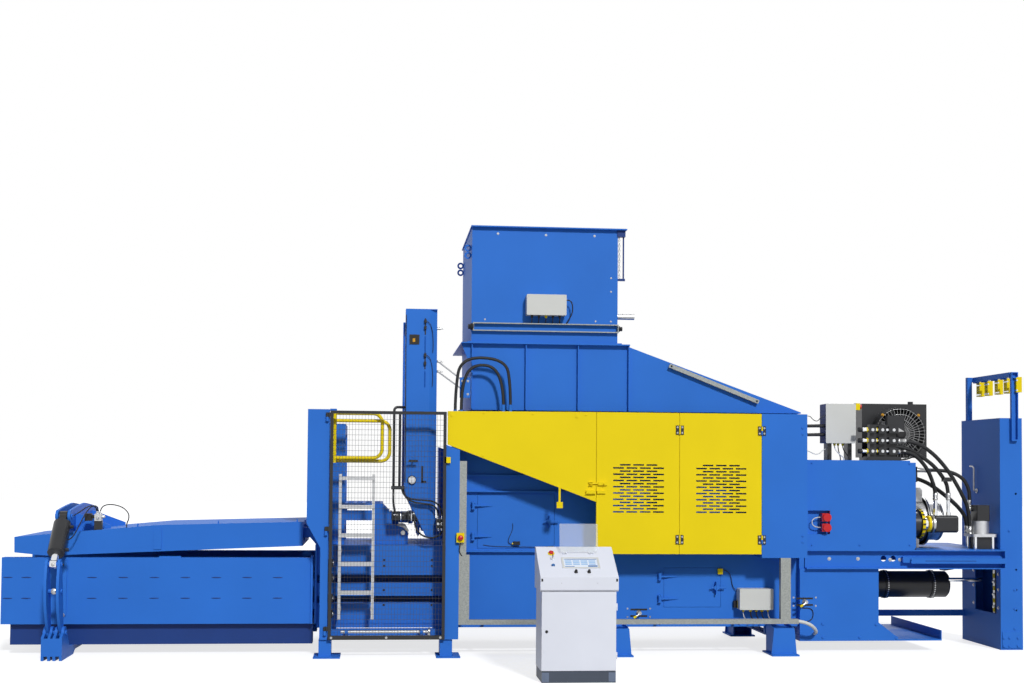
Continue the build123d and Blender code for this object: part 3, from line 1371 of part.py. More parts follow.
# Folding guard doors. Each is a folded sheet, slotted for a view of the chamber.
DOOR_PIN_Y = -GUARD_FACE - PIVOT
DOOR_HINGES = (1151, 2238)
LEAF = 42
SLOT_PITCH = (134, 31)
SLOT_SIZE = (108, 15)


def hinge_half(x, z, side):
    """Half of a door hinge: the left half turns on the pin of the right half."""
    with BuildPart() as half:
        near, far = sorted((x + side * (PIVOT + 3), x + side * LEAF))
        with BuildSketch(level(z - LEAF)):
            area(near, far, -GUARD_FACE - 5, -GUARD_FACE)
        extrude(amount=2 * LEAF)
        low = z + CLEAR if side < 0 else z - LEAF
        with BuildSketch(level(low)):
            with Locations((x, DOOR_PIN_Y)):
                Circle(PIVOT)
            near, far = sorted((x, x + side * (PIVOT + 3)))
            area(near, far, -GUARD_FACE - 5, -GUARD_FACE)
        extrude(amount=LEAF - CLEAR)
        with BuildSketch(level(z - LEAF)):
            with Locations((x, DOOR_PIN_Y)):
                Circle(5 + FIT if side < 0 else 5)
        extrude(amount=2 * LEAF, mode=Mode.SUBTRACT if side < 0 else Mode.ADD)
    return half.part


def slotted_door(left, right):
    """Folded door sheet with slots laid like bricks."""
    with BuildPart() as door:
        with BuildSketch(facing(-GUARD_FACE + GUARD_RETURN)):
            area(left, right, DOOR_BOTTOM, GUARD_TOP)
        extrude(amount=GUARD_RETURN)
        with BuildSketch(facing(-GUARD_FACE + GUARD_RETURN)):
            area(
                left + GUARD_SHEET,
                right - GUARD_SHEET,
                DOOR_BOTTOM + GUARD_SHEET,
                GUARD_TOP - GUARD_SHEET,
            )
        extrude(amount=GUARD_RETURN - GUARD_SHEET, mode=Mode.SUBTRACT)
        middle = (left + right) / 2 + 5
        with BuildSketch(facing(-GUARD_FACE + GUARD_SHEET + 1)):
            for shift, z in ((0, 1640), (SLOT_PITCH[0] / 2, 1640 + SLOT_PITCH[1])):
                columns = 4 if shift == 0 else 3
                with Locations((middle, z)):
                    with GridLocations(SLOT_PITCH[0], 2 * SLOT_PITCH[1], columns, 8):
                        Rectangle(*SLOT_SIZE)
        extrude(amount=GUARD_SHEET + 2, mode=Mode.SUBTRACT)
    return door.part


with BuildPart() as guard_door_inner:
    add(slotted_door(DOOR_MIDDLE + DOOR_GAP / 2, DOOR_RIGHT - DOOR_GAP / 2))
    for z in DOOR_HINGES:
        add(hinge_half(DOOR_RIGHT, z, -1))
        add(hinge_half(DOOR_MIDDLE, z, 1))
finish(guard_door_inner, "guard_door_inner")

with BuildPart() as guard_door_outer:
    add(slotted_door(DOOR_LEFT, DOOR_MIDDLE - DOOR_GAP / 2))
    for z in DOOR_HINGES:
        add(hinge_half(DOOR_MIDDLE, z, -1))
    with BuildSketch(facing(-GUARD_FACE)):
        area(868, 958, LATCH_Z - 16, LATCH_Z + 16)
        area(858, 942, SWITCH_Z - 14, SWITCH_Z + 14)
    extrude(amount=20)
    with BuildSketch(crosswise(780)):
        with Locations((-GUARD_FACE - 12, LATCH_Z)):
            Circle(7)
    extrude(amount=90)
    with BuildSketch(facing(-GUARD_FACE - 20)):
        with Locations((925, LATCH_Z)):
            Circle(7)
    extrude(amount=24)
finish(guard_door_outer, "guard_door_outer")

# Pillar cover, which carries the doors and hides the chamber's rear corner.
with BuildPart() as guard_pillar:
    left = DOOR_RIGHT + DOOR_GAP / 2
    with BuildSketch(level(971)):
        area(left, CHAMBER_RIGHT, -GUARD_FACE, -WALL_FACE)
        area(left + 4, CHAMBER_RIGHT - 4, -GUARD_FACE + 4, -WALL_FACE, Mode.SUBTRACT)
    extrude(amount=GUARD_TOP + 2 - 971)
    with BuildSketch(level(971)):
        area(left, CHAMBER_RIGHT, -GUARD_FACE, -WALL_FACE)
    extrude(amount=4)
    with BuildSketch(level(GUARD_TOP - 2)):
        area(left, CHAMBER_RIGHT, -GUARD_FACE, -WALL_FACE - 50)
    extrude(amount=4)
    for z in DOOR_HINGES:
        add(hinge_half(DOOR_RIGHT, z, 1))
finish(guard_pillar, "guard_pillar")

# Cable trunking along the operator's side.
TRUNK_DEPTH = 60
with BuildPart() as cable_trunking:
    with BuildSketch(facing(-GUARD_FACE + TRUNK_DEPTH)):
        area(TYING_RIGHT, TYING_RIGHT + 70, 995, 1912)
        area(TYING_RIGHT, TYING_RIGHT + 104, TRUNK_LOW, 995)
        area(TYING_RIGHT, 2903, TRUNK_LOW, TRUNK_LOW + 48)
        area(2719, 2821, TRUNK_LOW, 971)
    extrude(amount=TRUNK_DEPTH)
finish(cable_trunking, "cable_trunking")

# Grey electrical boxes: on the hopper, on the side wall and on a stand over the tank.
with BuildPart() as electrical_boxes:
    with BuildSketch(facing(-SHAFT_HALF)):
        area(157, 555, 3372, 3578)
    extrude(amount=120)
    with BuildSketch(facing(-WALL_FACE)):
        area(2354, 2700, 434, 646)
    extrude(amount=130)
    with BuildSketch(facing(-350)):
        area(3313, 3632, 2131, 2540)
    extrude(amount=200)
    chamfer(electrical_boxes.edges().filter_by(Axis.Y), 6)
    with BuildSketch(level(TANK_TOP)):
        for x in (3345, 3560):
            area(x, x + 45, -500, -380)
    extrude(amount=2131 - TANK_TOP)
    with BuildSketch(crosswise(3632)):
        area(-550, -480, 2478, 2548)
    extrude(amount=45)
    with BuildSketch(crosswise(3677)):
        with Locations((-515, 2513)):
            Circle(24)
    extrude(amount=22)
finish(electrical_boxes, "electrical_boxes")

# Main ram: a hollow box with a shear bar, pushed by the rod of the main cylinder.
RAM_TOP = CHAMBER_TOP - FLOOR_PLATE - RAM_GAP
RAM_PLATE = 20
with BuildPart() as press_ram:
    with BuildSketch(crosswise(RAM_FACE)):
        area(-BALE_HALF + RAM_GAP, BALE_HALF - RAM_GAP, FLOOR_TOP + RAM_GAP, RAM_TOP)
    extrude(amount=RAM_LENGTH)
    with BuildSketch(crosswise(RAM_FACE + 50)):
        area(
            -BALE_HALF + RAM_GAP + RAM_PLATE,
            BALE_HALF - RAM_GAP - RAM_PLATE,
            FLOOR_TOP + RAM_GAP + RAM_PLATE,
            RAM_TOP - RAM_PLATE,
        )
    extrude(amount=RAM_LENGTH - 50, mode=Mode.SUBTRACT)
    with BuildSketch(crosswise(RAM_FACE + 50)):
        for y in (-150, 130):
            area(y, y + 20, FLOOR_TOP + RAM_GAP + 10, RAM_TOP - 10)
    extrude(amount=RAM_LENGTH - 250)
    with BuildSketch(crosswise(RAM_FACE + 50)):
        with Locations((0, CYLINDER_AXIS)):
            Circle(RAM_ROD + 25)
            Circle(RAM_ROD, mode=Mode.SUBTRACT)
    extrude(amount=60)
finish(press_ram, "press_ram")

# Rod of the main cylinder, with its piston.
PISTON = 100
PISTON_LENGTH = 100
PISTON_RIGHT = 4750
with BuildPart() as ram_rod:
    with BuildSketch(crosswise(RAM_FACE + 50)):
        with Locations((0, CYLINDER_AXIS)):
            Circle(RAM_ROD)
    extrude(amount=PISTON_RIGHT - RAM_FACE - 50)
    with BuildSketch(crosswise(PISTON_RIGHT - PISTON_LENGTH)):
        with Locations((0, CYLINDER_AXIS)):
            Circle(PISTON)
    extrude(amount=PISTON_LENGTH)
finish(ram_rod, "ram_rod")

# Main cylinder: a long barrel held by its flange, with two straps.
STRAPS = (4132, 4643)
END_PLATE = (2990, 3040)
with BuildPart() as main_cylinder:
    axis = (0, CYLINDER_AXIS)
    with BuildSketch(crosswise(CYLINDER_LEFT)):
        with Locations(axis):
            Circle(CYLINDER_RADIUS)
            Circle(RAM_ROD + FIT, mode=Mode.SUBTRACT)
    extrude(amount=90)
    with BuildSketch(crosswise(CYLINDER_LEFT + 90)):
        with Locations(axis):
            Circle(CYLINDER_RADIUS)
            Circle(PISTON + FIT, mode=Mode.SUBTRACT)
    extrude(amount=CYLINDER_RIGHT - CYLINDER_LEFT - 150)
    with BuildSketch(crosswise(CYLINDER_RIGHT - 60)):
        with Locations(axis):
            Circle(CYLINDER_RADIUS)
    extrude(amount=60)
    chamfer(main_cylinder.edges().filter_by(GeomType.CIRCLE).group_by(Axis.X)[-1], 18)
    with BuildSketch(crosswise(END_PLATE[1])):
        with Locations(axis):
            Circle(CYLINDER_RADIUS + 60)
            Circle(CYLINDER_RADIUS, mode=Mode.SUBTRACT)
    extrude(amount=35)
    for x in STRAPS:
        with BuildSketch(crosswise(x - 25)):
            with Locations(axis):
                Circle(CYLINDER_RADIUS + 9)
                Circle(CYLINDER_RADIUS, mode=Mode.SUBTRACT)
        extrude(amount=50)
finish(main_cylinder, "main_cylinder")

# Rear box under the power unit: side plates, the cylinder's end plate and an open tray.
TRAY_LOW = 113
TRAY_RIGHT = 4483
BOX_HALF = 700
with BuildPart() as rear_chute:
    with BuildSketch(facing(-BOX_HALF + 20)):
        Polygon(
            (CHAMBER_RIGHT, 128),
            (CHAMBER_RIGHT, FRAME_BOTTOM),
            (3816, FRAME_BOTTOM),
            (3816, 299),
            (4005, 156),
            (4005, 128),
            align=None,
        )
    extrude(amount=20)
    mirror(about=Plane.XZ)
    with BuildSketch(level(TRAY_LOW)):
        area(CHAMBER_RIGHT, TRAY_RIGHT, -BOX_HALF, BOX_HALF)
    extrude(amount=15)
    with BuildSketch(crosswise(TRAY_RIGHT - 10)):
        area(-BOX_HALF, BOX_HALF, TRAY_LOW, TRAY_LOW + 105)
    extrude(amount=10)
    with BuildSketch(crosswise(END_PLATE[0])):
        area(-BOX_HALF + 20, BOX_HALF - 20, TRAY_LOW + 15, CHAMBER_TOP)
        with Locations((0, CYLINDER_AXIS)):
            Circle(CYLINDER_RADIUS, mode=Mode.SUBTRACT)
    extrude(amount=END_PLATE[1] - END_PLATE[0])
    with BuildSketch(crosswise(END_PLATE[1])):
        area(300, 340, 261, 327)
    extrude(amount=TOWER_LEFT - END_PLATE[1])
finish(rear_chute, "rear_chute")

# Frame of the power unit: two channel beams with a deck between them.
BEAM_DEPTH = 75
BEAM_WEB = 8
with BuildPart() as power_frame:
    with BuildSketch(crosswise(FRAME_LEFT)):
        area(-FRAME_HALF, -FRAME_HALF + BEAM_DEPTH, FRAME_BOTTOM, FRAME_TOP)
        area(
            -FRAME_HALF,
            -FRAME_HALF + BEAM_DEPTH - BEAM_WEB,
            FRAME_BOTTOM + 10,
            FRAME_TOP - 10,
            Mode.SUBTRACT,
        )
    extrude(amount=FRAME_RIGHT - FRAME_LEFT)
    with BuildSketch(facing(-FRAME_HALF + BEAM_DEPTH)):
        with Locations((3875, 950), (3976, 950)):
            Circle(30)
    extrude(amount=BEAM_WEB, mode=Mode.SUBTRACT)
    with BuildSketch(facing(-FRAME_HALF + BEAM_DEPTH - BEAM_WEB)):
        area(4064, 5116, 911, 971)
        area(4160, 4740, 936, 944, Mode.SUBTRACT)
    extrude(amount=50)
    mirror(about=Plane.XZ)
    inner = FRAME_HALF - BEAM_DEPTH
    with BuildSketch(level(FRAME_TOP - 10)):
        area(FRAME_LEFT, FRAME_RIGHT, -inner, inner)
    extrude(amount=10)
    for x in (FRAME_LEFT, 3700, 4300):
        with BuildSketch(crosswise(x)):
            area(-inner, inner, FRAME_TOP - 70, FRAME_TOP - 10)
        extrude(amount=10)
    with BuildSketch(crosswise(FRAME_RIGHT - 10)):
        area(-FRAME_HALF, FRAME_HALF, FRAME_BOTTOM, FRAME_TOP)
    extrude(amount=TOWER_LEFT - FRAME_RIGHT + 10)
finish(power_frame, "power_frame")

# Oil tank with a long front panel, its lid and two red plug sockets in a recess.
TANK_BODY = 3780
RECESS = (FRAME_LEFT + 12, 3290, 1200, 1440)
SOCKETS = ((3245, 1268), (3245, 1372))
with BuildPart() as oil_tank:
    with BuildSketch(level(FRAME_TOP)):
        area(FRAME_LEFT, TANK_BODY, TANK_FRONT + 8, TANK_REAR)
    extrude(amount=TANK_TOP - 20 - FRAME_TOP)
    with BuildSketch(level(FRAME_TOP + 8)):
        area(FRAME_LEFT + 8, TANK_BODY - 8, TANK_FRONT + 60, TANK_REAR - 8)
    extrude(amount=TANK_TOP - 36 - FRAME_TOP, mode=Mode.SUBTRACT)
    with BuildSketch(facing(TANK_FRONT + 8)) as panel:
        area(FRAME_LEFT, TANK_RIGHT, FRAME_TOP, TANK_TOP - 20)
        fillet(panel.vertices().group_by(Axis.X)[-1].sort_by(Axis.Z)[-1], 40)
    extrude(amount=8)
    with BuildSketch(level(TANK_TOP - 20)):
        area(FRAME_LEFT, TANK_RIGHT - 60, TANK_FRONT, TANK_REAR + 10)
    extrude(amount=20)
    with BuildSketch(facing(TANK_FRONT + 52)):
        area(*RECESS)
    extrude(amount=52, mode=Mode.SUBTRACT)
    with BuildSketch(facing(TANK_FRONT + 52)):
        with Locations(*SOCKETS):
            Circle(42)
    extrude(amount=110)
finish(oil_tank, "oil_tank")

# Oil cooler: a finned block in a sheet frame, with the fan's round shroud in front.
FAN_AXIS = (4138, 2236)
SHROUD = 278
COOLER_FRONT = -350
with BuildPart() as oil_cooler:
    with BuildSketch(facing(COOLER_FRONT + 200)):
        area(3767, 4471, TANK_TOP + 33, 2555)
    extrude(amount=200)
    with BuildSketch(facing(COOLER_FRONT + 100)):
        with Locations(FAN_AXIS):
            Circle(SHROUD - 8)
    extrude(amount=100, mode=Mode.SUBTRACT)
    with BuildSketch(facing(COOLER_FRONT)):
        with Locations(FAN_AXIS):
            Circle(SHROUD)
            Circle(SHROUD - 8, mode=Mode.SUBTRACT)
    extrude(amount=130)
    with BuildSketch(facing(COOLER_FRONT - 122)):
        with Locations(FAN_AXIS):
            for turn in range(20, 200, 45):
                Rectangle(2 * SHROUD - 8, 8, rotation=turn)
            Circle(60)
    extrude(amount=6)
    with BuildSketch(facing(COOLER_FRONT - 122)):
        with Locations(FAN_AXIS):
            Circle(12)
    extrude(amount=-150)
    with BuildSketch(level(TANK_TOP)):
        for x in (3800, 4060):
            area(x, x + 60, COOLER_FRONT + 20, COOLER_FRONT + 180)
    extrude(amount=33)
    with BuildSketch(level(2555)):
        with Locations((4333, COOLER_FRONT + 100)):
            Circle(28)
    extrude(amount=30)
finish(oil_cooler, "oil_cooler")

# Cooler fan, turning on the shroud's spindle.
BLADES = 7
with BuildPart() as cooler_fan:
    with BuildSketch(facing(COOLER_FRONT - 30)):
        with Locations(FAN_AXIS):
            Circle(62)
    extrude(amount=70)
    for i in range(BLADES):
        spoke = Plane(
            (FAN_AXIS[0], COOLER_FRONT - 65, FAN_AXIS[1]),
            x_dir=(sin(2 * pi * i / BLADES), 0, -cos(2 * pi * i / BLADES)),
            z_dir=(cos(2 * pi * i / BLADES), 0, sin(2 * pi * i / BLADES)),
        )
        with BuildSketch(spoke.offset(50)):
            Rectangle(110, 5, rotation=28)
        extrude(amount=SHROUD - 8 - 12 - 50)
    with BuildSketch(facing(COOLER_FRONT)):
        with Locations(FAN_AXIS):
            Circle(12 + FIT)
    extrude(amount=140, mode=Mode.SUBTRACT)
finish(cooler_fan, "cooler_fan")

# Main motor: a ribbed body with a flange, a terminal box and two feet.
MOTOR_Y = -90
MOTOR_Z = 1318
MOTOR_RADIUS = 225
with BuildPart() as pump_motor:
    with BuildSketch(crosswise(3860)):
        with Locations((MOTOR_Y, MOTOR_Z)):
            Circle(MOTOR_RADIUS)
    extrude(amount=640)
    with BuildSketch(crosswise(4500)):
        with Locations((MOTOR_Y, MOTOR_Z)):
            Circle(MOTOR_RADIUS + 30)
    extrude(amount=30)
    with BuildSketch(crosswise(4530)):
        with Locations((MOTOR_Y, MOTOR_Z)):
            Circle(MOTOR_RADIUS - 20)
    extrude(amount=170)
    chamfer(pump_motor.edges().filter_by(GeomType.CIRCLE).group_by(Axis.X)[-1], 40)
    with BuildSketch(level(MOTOR_Z + MOTOR_RADIUS - 20)):
        area(4180, 4480, MOTOR_Y - 110, MOTOR_Y + 110)
    extrude(amount=150)
    chamfer(pump_motor.edges().filter_by(Axis.Y).group_by(Axis.Z)[-1], 25)
    with BuildSketch(crosswise(3900)):
        area(MOTOR_Y - 170, MOTOR_Y - 120, FRAME_TOP, MOTOR_Z - 120)
        area(MOTOR_Y + 120, MOTOR_Y + 170, FRAME_TOP, MOTOR_Z - 120)
    extrude(amount=520)
finish(pump_motor, "pump_motor")

# Pump group in front of it: a small motor, the coupling housing and the pump.
PUMP_Y = -530
PUMP_Z = 1302
PUMP_STEPS = (
    (3900, 4300, 125),
    (4300, 4330, 150),
    (4330, 4400, 62),
    (4400, 4424, 84),
    (4424, 4440, 70),
    (4440, 4462, 96),
)
with BuildPart() as hydraulic_pump:
    for left, right, radius in PUMP_STEPS:
        with BuildSketch(crosswise(left)):
            with Locations((PUMP_Y, PUMP_Z)):
                Circle(radius)
        extrude(amount=right - left)
    with BuildSketch(crosswise(4462)):
        with Locations((PUMP_Y, PUMP_Z)):
            RectangleRounded(176, 178, 30)
    extrude(amount=245)
    chamfer(hydraulic_pump.edges().group_by(Axis.X)[-1], 12)
    for x in (4489, 4629):
        with BuildSketch(level(PUMP_Z + 80)):
            with Locations((x, PUMP_Y)):
                Circle(24)
        extrude(amount=40)
        with BuildSketch(level(PUMP_Z + 120)):
            with Locations((x, PUMP_Y)):
                RegularPolygon(20, 6)
        extrude(amount=126)
    with BuildSketch(crosswise(3940)):
        area(PUMP_Y - 110, PUMP_Y - 80, FRAME_TOP, PUMP_Z - 60)
        area(PUMP_Y + 80, PUMP_Y + 110, FRAME_TOP, PUMP_Z - 60)
    extrude(amount=300)
finish(hydraulic_pump, "hydraulic_pump")

# Valve block on the tank's lid: stacked valves with round solenoids and a port block.
VALVE_FRONT = -700
with BuildPart() as valve_block:
    with BuildSketch(level(TANK_TOP)):
        area(3700, 4060, VALVE_FRONT, VALVE_FRONT + 120)
    extrude(amount=40)
    with BuildSketch(level(TANK_TOP + 40)):
        area(3740, 4020, VALVE_FRONT + 40, VALVE_FRONT + 110)
    extrude(amount=330)
    for z in (2050, 2160, 2270):
        with BuildSketch(facing(VALVE_FRONT + 40)):
            area(3720, 3790, z - 34, z + 34)
            area(3820, 3900, z - 38, z + 38)
            area(3930, 4030, z - 34, z + 34)
        extrude(amount=46)
        with BuildSketch(crosswise(4020)):
            with Locations((VALVE_FRONT + 76, z)):
                Circle(26)
        extrude(amount=44)
    with BuildSketch(facing(VALVE_FRONT + 110)):
        area(3930, 4110, 2255, 2420)
    extrude(amount=70)
    with BuildSketch(facing(-300)):
        area(TANK_RIGHT - 60, 4330, 1735, 1895)
    extrude(amount=150)
    with BuildSketch(facing(-300)):
        area(TANK_RIGHT - 70, TANK_RIGHT - 60, 1735, TANK_TOP - 20)
    extrude(amount=150)
    with BuildSketch(crosswise(4330)):
        with Locations((-390, 1860)):
            Circle(24)
    extrude(amount=120)
finish(valve_block, "valve_block")

# Filter unit on the deck beside the tower: four legs, a body, a flange and a head.
FILTER = (5010, -450)
with BuildPart() as filter_unit:
    with BuildSketch(level(FRAME_TOP)):
        with Locations(FILTER):
            Rectangle(150, 180)
    extrude(amount=128)
    with BuildSketch(level(FRAME_TOP)):
        with Locations(FILTER):
            with GridLocations(190, 190, 2, 2):
                Circle(17)
    extrude(amount=128)
    with BuildSketch(level(FRAME_TOP + 128)):
        with Locations(FILTER):
            RectangleRounded(270, 260, 40)
    extrude(amount=30)
    with BuildSketch(level(FRAME_TOP + 158)):
        with Locations(FILTER):
            Circle(88)
    extrude(amount=135)
    with BuildSketch(level(FRAME_TOP + 293)):
        with Locations(FILTER):
            RectangleRounded(140, 170, 12)
    extrude(amount=165)
finish(filter_unit, "filter_unit")

# Wire tower: a folded column with two posts and a beam that carries the wire guides.
TOWER_SHEET = 6
OPENING = (-500, 20, 363, 818)
GUIDES_Y = (-600, -380, -160, 90, 300)
GUIDE_BEAM = (5265, 5325)
with BuildPart() as wire_tower:
    with BuildSketch(level(0)):
        area(TOWER_LEFT, TOWER_RIGHT, TOWER_FRONT, TOWER_REAR)
        area(
            TOWER_LEFT + TOWER_SHEET,
            TOWER_RIGHT - TOWER_SHEET,
            TOWER_FRONT + TOWER_SHEET,
            TOWER_REAR - TOWER_SHEET,
            Mode.SUBTRACT,
        )
    extrude(amount=TOWER_TOP)
    with BuildSketch(level(TOWER_TOP - TOWER_SHEET)):
        area(TOWER_LEFT, TOWER_RIGHT, TOWER_FRONT, TOWER_REAR)
    extrude(amount=TOWER_SHEET)
    with BuildSketch(crosswise(TOWER_LEFT - 1)):
        area(*OPENING)
    extrude(amount=TOWER_SHEET + 2, mode=Mode.SUBTRACT)
    with BuildSketch(facing(TOWER_FRONT + TOWER_SHEET + 1)):
        for z in (410, 620, 830, 1620):
            with Locations((TOWER_RIGHT - 70, z)):
                Circle(11)
    extrude(amount=TOWER_SHEET + 2, mode=Mode.SUBTRACT)
    with BuildSketch(facing(TOWER_FRONT)):
        area(TOWER_LEFT + 15, TOWER_RIGHT - 15, 20, 190)
    extrude(amount=8)
    with BuildSketch(facing(TOWER_FRONT)):
        area(5273, 5345, 2171, WIRE_BEAM_Z)
        area(5281, 5337, 2186, WIRE_BEAM_Z - 8, Mode.SUBTRACT)
    extrude(amount=40)
    with BuildSketch(facing(TOWER_FRONT)):
        area(5273, 5345, 2171, WIRE_BEAM_Z)
    extrude(amount=6)
    with BuildSketch(level(TOWER_TOP)):
        area(5200, 5253, 290, 340)
        area(5206, 5253, 296, 334, Mode.SUBTRACT)
    extrude(amount=WIRE_BEAM_Z - 40 - TOWER_TOP)
    with BuildSketch(facing(340)):
        area(5200, GUIDE_BEAM[1], WIRE_BEAM_Z - 50, WIRE_BEAM_Z)
    extrude(amount=50)
    with BuildSketch(facing(340)):
        area(*GUIDE_BEAM, WIRE_BEAM_Z - 50, WIRE_BEAM_Z)
        area(GUIDE_BEAM[0] + 6, GUIDE_BEAM[1] - 6, WIRE_BEAM_Z - 44, WIRE_BEAM_Z - 6, Mode.SUBTRACT)
    extrude(amount=340 - TOWER_FRONT)
    for y in GUIDES_Y:
        with BuildSketch(facing(y + 40)):
            area(GUIDE_BEAM[0] + 20, GUIDE_BEAM[1] + 60, WIRE_BEAM_Z - 62, WIRE_BEAM_Z - 50)
            area(GUIDE_BEAM[1], GUIDE_BEAM[1] + 60, WIRE_BEAM_Z - 210, WIRE_BEAM_Z - 62)
        extrude(amount=80)
        with BuildSketch(crosswise(GUIDE_BEAM[1] - 1)):
            with Locations((y, WIRE_BEAM_Z - 165), (y, WIRE_BEAM_Z - 110)):
                Circle(12)
        extrude(amount=62, mode=Mode.SUBTRACT)
finish(wire_tower, "wire_tower")

# Operator's console: a cabinet on a plinth with a sloping desk.
DESK_FRONT = (CONSOLE_FRONT - 15, 907)
DESK_REAR = (CONSOLE_FRONT + 380, 1147)
DESK_TILT = atan2(DESK_REAR[1] - DESK_FRONT[1], DESK_REAR[0] - DESK_FRONT[0])
CONSOLE_HALF = CONSOLE_WIDTH / 2
DOOR_PAN = 18
PLINTH = 100


def desk_point(along, out=0):
    """Point of the desk's section, from its front edge up the slope and out from it."""
    y = DESK_FRONT[0] + along * cos(DESK_TILT) - out * sin(DESK_TILT)
    z = DESK_FRONT[1] + along * sin(DESK_TILT) + out * cos(DESK_TILT)
    return (y, z)


def desk_plane(x, along, out=0):
    """Plane on the desk: local X to the right, local Y up the slope."""
    y, z = desk_point(along, out)
    return Plane((x, y, z), x_dir=(1, 0, 0), z_dir=(0, -sin(DESK_TILT), cos(DESK_TILT)))


DESK_SHEET = 4
BUTTON_X = 233
BUTTON_BORE = 11
ESTOP_ALONG = 362
BUTTON_ALONG = 175
SCREEN = (479, 212, 334, 165)
COVER_WIDTH = 341
COVER_LENGTH = 250
COVER_AXIS_ALONG = 352
COVER_AXIS_OUT = 12
with BuildPart() as console_cabinet:
    console_rear = CONSOLE_FRONT + CONSOLE_DEPTH
    body_front = CONSOLE_FRONT + DOOR_PAN + CLEAR
    left, right = CONSOLE_X - CONSOLE_HALF, CONSOLE_X + CONSOLE_HALF
    with BuildSketch(level(0)):
        area(left + 4, right - 4, CONSOLE_FRONT + 6, console_rear - 6)
        area(left + 8, right - 8, CONSOLE_FRONT + 10, console_rear - 10, Mode.SUBTRACT)
    extrude(amount=PLINTH)
    with BuildSketch(level(PLINTH)):
        area(left, right, body_front, console_rear)
        area(left + 3, right - 3, body_front - 1, console_rear - 3, Mode.SUBTRACT)
    extrude(amount=786 - PLINTH)
    for z in (PLINTH, 783):
        with BuildSketch(level(z)):
            area(left, right, body_front, console_rear)
        extrude(amount=3)
    with BuildSketch(crosswise(CONSOLE_X - 341)):
        Polygon(
            (CONSOLE_FRONT, 786),
            (DESK_FRONT[0], 800),
            DESK_FRONT,
            DESK_REAR,
            (console_rear, 1147),
            (console_rear, 786),
            align=None,
        )
    extrude(amount=682)
    with BuildSketch(crosswise(CONSOLE_X - 341 + DESK_SHEET)):
        Polygon(
            (CONSOLE_FRONT + 6, 792),
            (DESK_FRONT[0] + 5, 803),
            (DESK_FRONT[0] + 5, 904),
            (DESK_REAR[0] + 3, 1142),
            (console_rear - 4, 1142),
            (console_rear - 4, 792),
            align=None,
        )
    extrude(amount=682 - 2 * DESK_SHEET, mode=Mode.SUBTRACT)
    with BuildSketch(desk_plane(*SCREEN[:2])):
        Rectangle(SCREEN[2], SCREEN[3])
    extrude(amount=4)
    with BuildSketch(desk_plane(*SCREEN[:2], 1.5)):
        Rectangle(SCREEN[2] - 36, SCREEN[3] - 36)
    extrude(amount=4, mode=Mode.SUBTRACT)
    for along in (ESTOP_ALONG - 5, BUTTON_ALONG):
        with BuildSketch(desk_plane(BUTTON_X, along)):
            Circle(18)
        extrude(amount=3)
        with BuildSketch(desk_plane(BUTTON_X, along, -10)):
            Circle(BUTTON_BORE + FIT)
        extrude(amount=20, mode=Mode.SUBTRACT)
    with BuildSketch(desk_plane(BUTTON_X + 4, 270)):
        Circle(15)
    extrude(amount=14)
    for x in (422, 537):
        with BuildSketch(desk_plane(x, 75)):
            Circle(11)
        extrude(amount=18)
    for x in (353, 591):
        for shift in (-20, 10 + CLEAR):
            with BuildSketch(crosswise(x + shift)):
                with Locations(desk_point(COVER_AXIS_ALONG, COVER_AXIS_OUT)):
                    Circle(7)
                Polygon(
                    desk_point(COVER_AXIS_ALONG - 7, -1),
                    desk_point(COVER_AXIS_ALONG + 7, -1),
                    desk_point(COVER_AXIS_ALONG + 7, COVER_AXIS_OUT),
                    desk_point(COVER_AXIS_ALONG - 7, COVER_AXIS_OUT),
                    align=None,
                )
            extrude(amount=10 - CLEAR)
        with BuildSketch(crosswise(x - 20)):
            with Locations(desk_point(COVER_AXIS_ALONG, COVER_AXIS_OUT)):
                Circle(3)
        extrude(amount=40)
    for z in (230, 650):
        with BuildSketch(level(z - 30)):
            with Locations(CONSOLE_PIVOT):
                Circle(6)
            area(right, CONSOLE_PIVOT[0] + 6, CONSOLE_PIVOT[1], body_front + 30)
        extrude(amount=30 - CLEAR)
        with BuildSketch(level(z - 30)):
            with Locations(CONSOLE_PIVOT):
                Circle(3)
        extrude(amount=60)
finish(console_cabinet, "console_cabinet")

# Cabinet door: a folded pan on two hinges, with a quarter-turn lock.
with BuildPart() as console_door:
    with BuildSketch(facing(CONSOLE_FRONT + DOOR_PAN)):
        area(left, right - 3, PLINTH + 4, 782)
    extrude(amount=DOOR_PAN)
    with BuildSketch(facing(CONSOLE_FRONT + DOOR_PAN)):
        area(left + 2, right - 5, PLINTH + 6, 780)
    extrude(amount=DOOR_PAN - 2, mode=Mode.SUBTRACT)
    with BuildSketch(facing(CONSOLE_FRONT + 2)):
        with Locations((left + 24, 280)):
            Circle(11)
    extrude(amount=5)
    for z in (230, 650):
        with BuildSketch(level(z)):
            with Locations(CONSOLE_PIVOT):
                Circle(6)
            area(right - 5, CONSOLE_PIVOT[0], CONSOLE_PIVOT[1] - 6, CONSOLE_PIVOT[1] - 2)
            with Locations(CONSOLE_PIVOT):
                Circle(3 + FIT, mode=Mode.SUBTRACT)
        extrude(amount=30)
finish(console_door, "console_door")

